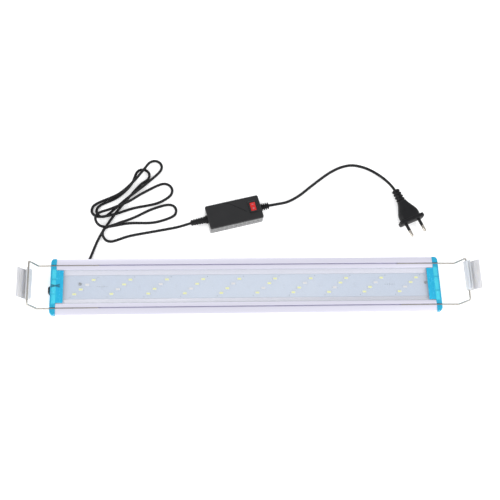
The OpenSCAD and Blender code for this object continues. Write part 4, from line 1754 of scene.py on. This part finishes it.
@dataclass
class Bracket:
    """One wire bracket with its rim clip."""

    side: int
    name: str
    body: Body
    clip_body: Body
    kink: float
    clip_y: float
    slope: float
    seat_at: Point = (0.0, 0.0)
    leg: float = 72.6
    rise_x: float = 9.0
    rise_z: float = 18.5
    wire_y: float = WIRE_Y
    wire_z: float = WIRE_Z
    radius: float = 1.25
    clip_length: float = 37.0
    hook: Point = (5.4, 3.9)

    def wire(self) -> None:
        """Bends the bracket's wire."""
        inner, kink, far = self.kink - self.leg, self.kink, self.kink + self.rise_x
        y, low, high = self.wire_y, self.wire_z, self.wire_z + self.rise_z
        path = [(inner, -y, low), (kink, -y, low), (far, -y, high), (far, y, high),
                (kink, y, low), (inner, y, low)]
        path = [(self.side * a, b, c) for a, b, c in path]
        piece = swept_wire(self.name + "_wire", path, [0, 2.2, 1.8, 1.8, 2.2, 0], self.radius,
                           Finishes.steel, 20, 0.72)
        seat(piece, self.body, None, [f"bracket_{self.name}"])

    def section(self) -> list[Point]:
        """Gives the clip's section, with its slot towards +X and the web's wire seat at zero."""
        edge = math.degrees(math.asin(0.85 / 1.3))
        hook_x, hook_z = self.hook
        foot = math.degrees(math.asin((hook_z - 2.2) / 2.3))
        root = math.degrees(math.asin((hook_z - 3.6) / 2.3))
        outline: list[Point] = [(-2.6, 0.85)]
        outline += arc((0, 0), 1.3, 180 - edge, -180 + edge, 16)
        outline += filleted([(-2.6, -0.85, 0), (-2.6, -4.2, 1.0), (15.7, -4.2, 0)], 4)[:-1]
        outline += arc((15.7, -3.5), 0.7, -90, 90, 6)
        for x in (15.0, 12.4, 9.8, 7.2, 4.6):
            outline += arc((x, -2.8), 0.45, 0, 180, 5)
        outline += filleted([(4.0, -2.8, 0), (2.6, -2.8, 0.8), (2.6, 2.2, 0.8), (3.2, 2.2, 0)],
                            4)[1:]
        outline += arc((hook_x, hook_z), 2.3, 180 + foot, 360, 12)
        outline += [(hook_x + 1.3, hook_z)]
        outline += arc((hook_x, hook_z), 1.3, 0, -270, 18)[1:]
        outline += arc((hook_x, hook_z), 2.3, 90, 180 + root, 8)
        outline += filleted([(3.0, 3.6, 0), (-2.6, 3.6, 1.0), (-2.6, 0.85, 0)], 4)[1:-1]
        return outline

    def clip(self) -> None:
        """Moulds the clip along its stretch of wire."""
        section = self.section()
        half = self.clip_length / 2
        rings = []
        for d, reach in [(0.25, half), (0.08, half - 0.06), (0.0, half - 0.25),
                         (0.0, -half + 0.25), (0.08, -half + 0.06), (0.25, -half)]:
            rings.append([(x - self.seat_at[0], reach, z - self.seat_at[1])
                          for x, z in inset(section, d)])
        place = Matrix.Translation((self.kink + self.rise_x, self.clip_y,
                                    self.wire_z + self.rise_z)) \
            @ Matrix.Rotation(math.radians(-self.slope), 4, "Y")
        if self.side < 0:
            place = Matrix.Scale(-1, 4, (1, 0, 0)) @ place
        piece = Mould().loft(rings).cast(self.name + "_rim_clip", place, 40.0)
        seat(piece, self.clip_body, Finishes.clip, [f"clip_{self.name}"])

    def build(self) -> None:
        """Builds the bracket and the clip."""
        self.wire()
        self.clip()


# ---------- driver ----------


@dataclass
class Driver:
    """The in-line driver: its ribbed shells, switch and strain reliefs."""

    at: Spot = (-14.91, 96.31, 0.0)
    turn: float = 13.5
    length: float = 69.5
    width: float = 31.7
    height: float = 16.0
    seam: float = 8.4
    wall: float = 1.8
    corner: float = 2.2
    switch: Point = (24.6, 1.0)
    opening: Point = (9.6, 13.8)
    gland: Point = (1.5, 6.4)
    posts: Point = (31.25, 12.35)
    pivot: float = 14.8
    tilt: float = 8.0
    rib_pitch: float = 5.8
    rib_count: int = 11
    rib_r: float = 1.62
    groove: Sequence[Point] = ((-12.9, 16.5), (-1.3, 10.5), (15.1, -3.3))

    @property
    def place(self) -> Matrix:
        """The driver's own frame."""
        return Matrix.Translation(self.at) @ Matrix.Rotation(math.radians(self.turn), 4, "Z")

    @property
    def post_spots(self) -> list[Point]:
        """The places of the case's four screws, in the driver's own frame."""
        return [(sx * self.posts[0], sy * self.posts[1]) for sx in (-1, 1) for sy in (-1, 1)]

    def plan(self, d: float) -> list[Point]:
        """Gives the case's outline, inset by d."""
        return rounded_box(self.length - 2 * d, self.width - 2 * d, max(self.corner - d, 0.35), 6)

    def lid(self) -> None:
        """Makes the lid, with a rounded rim, the switch's opening and the groove on top."""
        top, radius = self.height, 1.25
        levels = [(0.28, self.seam), (0.0, self.seam + 0.3), (0.0, self.seam + 0.7)]
        levels += [*eased(radius, top, 6), (radius + 0.35, top)]
        rings = [flat(self.plan(d), z) for d, z in levels]
        w, h = self.opening
        rings += plates([(w + 0.6, h + 0.6, 0.6, top), (w, h, 0.4, top),
                         (w, h, 0.4, top - self.wall)], 6, self.switch)
        rings += [flat(self.plan(self.wall), z) for z in (top - self.wall, self.seam)]
        piece = Mould().loft(rings, joined=True).cast("driver_lid_shell")
        cutters = []
        for a, b in zip(self.groove, self.groove[1:]):
            way = Vector(b) - Vector(a)
            side = Vector((-way.y, way.x)).normalized()
            rings = []
            for p in (Vector(a) - way.normalized() * 0.25, Vector(b) + way.normalized() * 0.25):
                rings.append([(*(p + side * w), z) for w, z in
                              [(-0.5, top + 0.4), (-0.42, top), (-0.2, top - 0.5),
                               (0.2, top - 0.5), (0.42, top), (0.5, top + 0.4)]])
            cutters.append(Mould().loft(rings).cast("groove"))
        carve(piece, cutters, crease=30.0)
        self.put(piece)
        seat(piece, Body.LAMP, Finishes.shell, ["driver_lid"])

    def put(self, piece: bpy.types.Object) -> None:
        """Moves a mesh made in the driver's frame to its place.

        Args:
            piece: The piece, still in the driver's own frame.
        """
        place = self.place.copy()
        place.translation = place.translation * MM
        piece.data.transform(place)

    def base(self) -> None:
        """Makes the base, with a rounded bottom rim and the screws' recesses."""
        radius = 1.0
        levels = [(self.wall, self.wall), (self.wall, self.seam), (0.28, self.seam),
                  (0.0, self.seam - 0.3), (0.0, self.seam - 0.7), (0.0, radius + 0.4)]
        levels += [(d, -z) for d, z in eased(radius, 0.0, 4)] + [(radius + 0.4, 0.0)]
        piece = Mould().loft([flat(self.plan(d), z) for d, z in levels]).cast("driver_base_shell")
        cutters = []
        for x, y in self.post_spots:
            turn = Matrix.Translation((x, y, 0)) @ Matrix.Rotation(-math.pi / 2, 4, "Y")
            cutters.append(Mould().lathe([(-1.0, 1.95), (1.4, 1.9)], 24).cast("recess", turn))
        carve(piece, cutters, crease=30.0)
        self.put(piece)
        seat(piece, Body.LAMP, Finishes.shell, ["driver_base"])

    def ribs(self) -> None:
        """Stands the ribs along both long sides of each shell."""
        for name, low, high in (("driver_base_ribs", 1.2, self.seam - 0.35),
                                ("driver_lid_ribs", self.seam + 0.35, 14.9)):
            levels = [(0.35, low), (0.0, low + 0.4), (0.0, high - 0.5), (0.2, high - 0.2),
                      (0.5, high)]
            pattern = Mould().loft([flat(circle(self.rib_r - d, 20), z) for d, z in levels]) \
                .cast("rib")
            row = self.width / 2 - 1.2
            first = (-(self.rib_count - 1) / 2 * self.rib_pitch, -row, 0.0)
            # The ribs carry the lighter finish with the painted sheen.
            piece = ranked(name, pattern, self.rib_count, first, (self.rib_pitch, 0, 0), 2 * row,
                           self.at, self.turn, Finishes.ribbing)
            seat(piece, Body.LAMP, None)

    def screws(self) -> None:
        """Adds the screws under the base."""
        spots = [tuple(self.place @ Vector((x, y, 1.4))) for x, y in self.post_spots]
        seat(scattered("driver_screw_heads", cross_screw(1.75, 1.15, 0.95, 9.8), spots,
                       Finishes.screw, turns=[(math.pi, 0, 0.4 * k) for k in range(4)],
                       seed=6, crease=28.0), Body.LAMP, None, ["driver_screws"])

    def bezel(self) -> None:
        """Makes the switch's frame and its terminals."""
        top = self.height
        x, y = self.switch
        rings = plates([
            (10.2, 14.8, 1.0, top - 0.05), (10.6, 15.2, 1.0, top + 0.15),
            (10.6, 15.2, 1.0, top + 0.75), (10.3, 14.9, 1.0, top + 1.15),
            (9.7, 14.3, 1.0, top + 1.3), (7.9, 12.5, 0.5, top + 1.3), (7.5, 12.1, 0.5, top + 1.2),
            (7.25, 11.9, 0.5, top + 0.8), (7.25, 11.9, 0.5, 10.0), (9.4, 13.6, 0.4, 10.0),
            (9.4, 13.6, 0.4, top - 0.05)], 5, self.switch)
        mould = Mould().loft(rings, joined=True)
        mould.loft(plates([(9.3, 13.5, 0.4, 8.0), (9.3, 13.5, 0.4, 9.95)], 5, self.switch))
        for s in (-3.5, 3.5):
            mould.block((x - 2, y + s - 0.3, 4.0), (x + 2, y + s + 0.3, 8.0), 0.08)
        piece = mould.cast("switch_bezel")
        self.put(piece)
        seat(piece, Body.LAMP, Finishes.nylon, ["switch_body"])

    def rocker(self) -> None:
        """Makes the red rocker with its two plain on and off marks."""
        slope = math.radians(self.tilt)
        rim = 2.6 + 5.3 * math.tan(slope)
        side = filleted([(-5.3, rim, 0.35), (0.0, 2.6, 6.0), (5.3, rim, 0.35), (5.3, 0.0, 0.4),
                         (3.2, -3.0, 0.4), (-3.2, -3.0, 0.4), (-5.3, 0.0, 0.4)], 5)
        rings = []
        for d, x in [(0.3, -3.4), (0.09, -3.31), (0.0, -3.1), (0.0, 3.1), (0.09, 3.31), (0.3, 3.4)]:
            rings.append(upright(inset(list(reversed(side)), d), x))
        x, y = self.switch
        own = Matrix.Translation((x, y, self.pivot)) @ Matrix.Rotation(slope, 4, "X")
        mould = Mould().loft(rings)
        mould.lathe([(-4.05, 0.55), (-3.95, 0.7), (3.95, 0.7), (4.05, 0.55)], 16)
        piece = mould.cast("rocker_cap", own)
        self.put(piece)
        seat(piece, Body.ROCKER, Finishes.rocker, ["rocker"])
        marks = Mould()
        bar = Matrix.Translation((0, 2.9, 2.6 + 2.9 * math.tan(slope))) \
            @ Matrix.Rotation(slope, 4, "X")
        ring = Matrix.Translation((0, -2.3, 2.6 + 2.3 * math.tan(slope))) \
            @ Matrix.Rotation(-slope, 4, "X")
        marks.loft([[bar @ Vector(p) for p in flat(rounded_box(2.3, 0.62, 0.25, 3), z)]
                    for z in (-0.1, 0.05)])
        loop = []
        for r, z in [(1.0, -0.1), (1.0, 0.05), (0.5, 0.05), (0.5, -0.1)]:
            loop.append([ring @ Vector(p) for p in flat(circle(r, 24), z)])
        marks.loft(loop, joined=True)
        piece = marks.cast("rocker_marks", own)
        self.put(piece)
        seat(piece, Body.ROCKER, Finishes.marks)

    def reliefs(self) -> None:
        """Turns the two ribbed strain reliefs."""
        y, z = self.gland
        left = Matrix.Translation((-self.length / 2, y, z)) @ Matrix.Rotation(math.pi, 4, "Z")
        right = Matrix.Translation((self.length / 2, y, z))
        for name, node, place, profile in (
                ("lamp_side_boot", "lamp_side_relief", left,
                 relief_profile(4.0, 3.2, 21.05, 6, 0.6, 5.4, 2.0, 4.0, self.wall)),
                ("mains_side_boot", "mains_side_relief", right,
                 relief_profile(3.1, 2.6, 11.95, 4, 1.7, 4.4, 1.2, 3.2, self.wall))):
            piece = Mould().lathe(profile, 40).cast(name, place, 32.0)
            self.put(piece)
            seat(piece, Body.LAMP, Finishes.rubber, [node])

    def inside(self) -> None:
        """Dresses the parts inside the case, which stay as CAD has them."""
        for node, finish, slot in (("driver_board", Finishes.green, Slot.GREEN),
                                   ("transformer", Finishes.ferrite, Slot.FERRITE),
                                   ("capacitors", Finishes.sleeve, Slot.CAPACITOR),
                                   ("driver_chips", Finishes.chip, Slot.CHIP)):
            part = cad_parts[node]
            part.data.materials.clear()
            part.data.materials.append(finish.material())

    def build(self) -> None:
        """Builds the driver."""
        self.base()
        self.lid()
        self.ribs()
        self.screws()
        self.bezel()
        self.rocker()
        self.reliefs()
        self.inside()


def relief_profile(first: float, last: float, length: float, count: int, proud: float,
                   flange: float, thick: float, neck: float, wall: float) -> list[Point]:
    """Gives a ribbed, tapering strain relief as distance and radius.

    Args:
        first: Wall radius at the flange.
        last: Wall radius at the tip.
        length: From the case to the tip.
        count: Number of ribs.
        proud: Height of each rib.
        flange: Radius of the flange.
        thick: Thickness of the flange.
        neck: How far it goes into the case.
        wall: The case's wall.

    Returns:
        The profile, from inside the case to the bottom of the mouth.
    """
    step = (length - thick) / count
    mouth = 2.0

    def radius(x: float) -> float:
        """Gives the wall's radius at x."""
        return first + (last - first) * (x - thick) / (length - thick)

    made = [(-neck, 3.3), (-neck + 0.2, 3.9), (-wall - 0.02, 3.9), (-wall, 3.1), (-0.02, 3.1),
            (0.0, flange - 0.2), (0.2, flange), (thick - 0.35, flange), (thick, flange - 0.35),
            (thick + 0.02, radius(thick))]
    for i in range(count):
        for share, rise in ((0.26, 0.0), (0.31, 0.85), (0.36, 1.0), (0.64, 1.0), (0.69, 0.85),
                            (0.74, 0.0)):
            x = thick + step * (i + share)
            made.append((x, radius(x) + proud * rise))
    return made + [(length - 0.15, last), (length, last - 0.12), (length, mouth),
                   (length - 1.6, mouth - 0.05)]


# ---------- plug ----------


@dataclass
class Plug:
    """The two-pin plug with its grip, ribbed boot and sleeved pins."""

    at: Spot = (214.7, 86.2, 6.85)
    turn: float = -67.3
    width: float = 34.5
    height: float = 13.7
    reach: float = 30.3
    boot_length: float = 17.0
    spacing: float = 18.6
    sections: Sequence[Spot] = (
        (-0.6, 22.0, 11.6), (-4.5, 26.4, 12.6), (-7.0, 27.3, 13.0), (-10.0, 27.5, 13.1),
        (-13.0, 26.5, 13.0), (-16.0, 24.2, 12.9), (-19.0, 21.1, 12.7), (-22.0, 17.9, 12.3),
        (-25.0, 14.9, 11.8), (-27.8, 12.7, 11.3), (-29.9, 11.6, 10.9), (-30.3, 11.0, 10.3))
    made: list[bpy.types.Object] = field(default_factory=list)

    @property
    def place(self) -> Matrix:
        """The plug's own frame, with the pins towards +X."""
        return Matrix.Translation(self.at) @ Matrix.Rotation(math.radians(self.turn), 4, "Z")

    def grip(self) -> None:
        """Lofts the pear-shaped grip and its flange."""
        mould = Mould()
        mould.loft([upright(rounded_box(w, h, min(w, h) / 2 * 0.86, 7), x)
                    for x, w, h in self.sections])
        mould.loft([upright(rounded_box(self.width - 2 * d, self.height - 2 * d, 3.5 - d, 8), x)
                    for x, d in [(-4.6, 0.5), (-4.3, 0.12), (-3.9, 0.0), (-0.8, 0.0),
                                 (-0.3, 0.15), (0.0, 0.6)]])
        for s in (-1, 1):
            for k in range(4):
                x = -9.0 - 2.6 * k
                mould.loft([[(x + dx, s * 4.2 + dy, s2 * (6.62 - 0.25 * t)) for dx, dy in
                             rounded_box(1.1 - 0.3 * t, 3.6 - 0.3 * t, 0.4, 3)]
                            for s2, t in ((1, 2), (1, 0))])
        self.keep(seat(mould.cast("plug_grip", self.place, 38.0), Body.LAMP,
                       Finishes.rubber, ["plug_body"]))

    def keep(self, piece: bpy.types.Object) -> None:
        """Notes a piece that lies on the cord."""
        self.made.append(piece)

    def boot(self) -> None:
        """Turns the ribbed boot behind the grip."""
        profile = [(-8.0, 2.6), (-7.8, 3.0), (-0.02, 3.0), (0.0, 5.1), (0.3, 5.35)]
        for i in range(4):
            for share, rise in ((0.3, 0.0), (0.35, 0.8), (0.41, 1.0), (0.76, 1.0), (0.82, 0.8),
                                (0.88, 0.0)):
                x = self.boot_length / 4 * (i + share)
                profile.append((x, 4.7 - 0.7 * x / self.boot_length + 1.1 * rise))
        tip = self.boot_length
        profile += [(tip - 0.2, 4.0), (tip, 3.8), (tip, 2.1), (tip - 1.6, 2.05)]
        place = self.place @ Matrix.Translation((-self.reach, 0, 0)) \
            @ Matrix.Rotation(math.pi, 4, "Z")
        self.keep(seat(Mould().lathe(profile, 36).cast("plug_cord_boot", place, 32.0), Body.LAMP,
                       Finishes.rubber, ["plug_boot"]))

    def pins(self) -> None:
        """Turns the two pins and their sleeves."""
        metal, sleeves = Mould(), Mould()
        for s in (-1, 1):
            spot = (0.0, s * self.spacing / 2, 0.0)
            metal.lathe([(-12.0, 1.2), (-11.8, 1.4), (10.0, 1.4), (10.02, 1.9), (10.15, 2.0),
                         (17.6, 2.0), (18.2, 1.88), (18.65, 1.6), (18.92, 1.15), (19.0, 0.6)],
                        28, spot)
            sleeves.lathe([(0.0, 1.42), (0.0, 2.0), (9.8, 2.0), (9.98, 1.85), (9.98, 1.42)], 28,
                          spot, joined=True)
        self.keep(seat(metal.cast("plug_pin_metal", self.place, 40.0), Body.LAMP,
                       Finishes.nickel, ["plug_pins"]))
        self.keep(seat(sleeves.cast("plug_pin_sleeves", self.place, 40.0), Body.LAMP,
                       Finishes.rubber, ["pin_sleeves"]))

    def build(self) -> None:
        """Builds the plug."""
        self.grip()
        self.boot()
        self.pins()


# ---------- everything ----------


def main() -> None:
    """Builds the studio and the light, piece by piece."""
    logging.basicConfig(level=logging.INFO, format="%(name)s: %(message)s")
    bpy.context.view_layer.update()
    Studio().build()
    lamp_cord = Cord("lamp_cord_run", "lamp_cord", 3.4, LAMP_ROUTE, "limp", "object")
    mains_cord = Cord("mains_cord_run", "mains_cord", 3.6, MAINS_ROUTE, "medium", "plug")
    lamp_cord.build()
    mains_cord.build()
    LightBar().build()
    EndCap(-1, "left_end_cap", "end_cap_left").build()
    EndCap(1, "right_end_cap", "end_cap_right").build()
    CapFixings().build()
    Bracket(-1, "left", Body.LEFT_BRACKET, Body.LEFT_CLIP, 254.9, 0.0, 57.0, (5.4, 3.9)).build()
    Bracket(1, "right", Body.RIGHT_BRACKET, Body.RIGHT_CLIP, 261.6, 4.0, 46.0).build()
    Driver().build()
    plug = Plug()
    plug.build()
    lamp_cord.declare()
    mains_cord.declare()


if __name__ == "__main__":
    main()
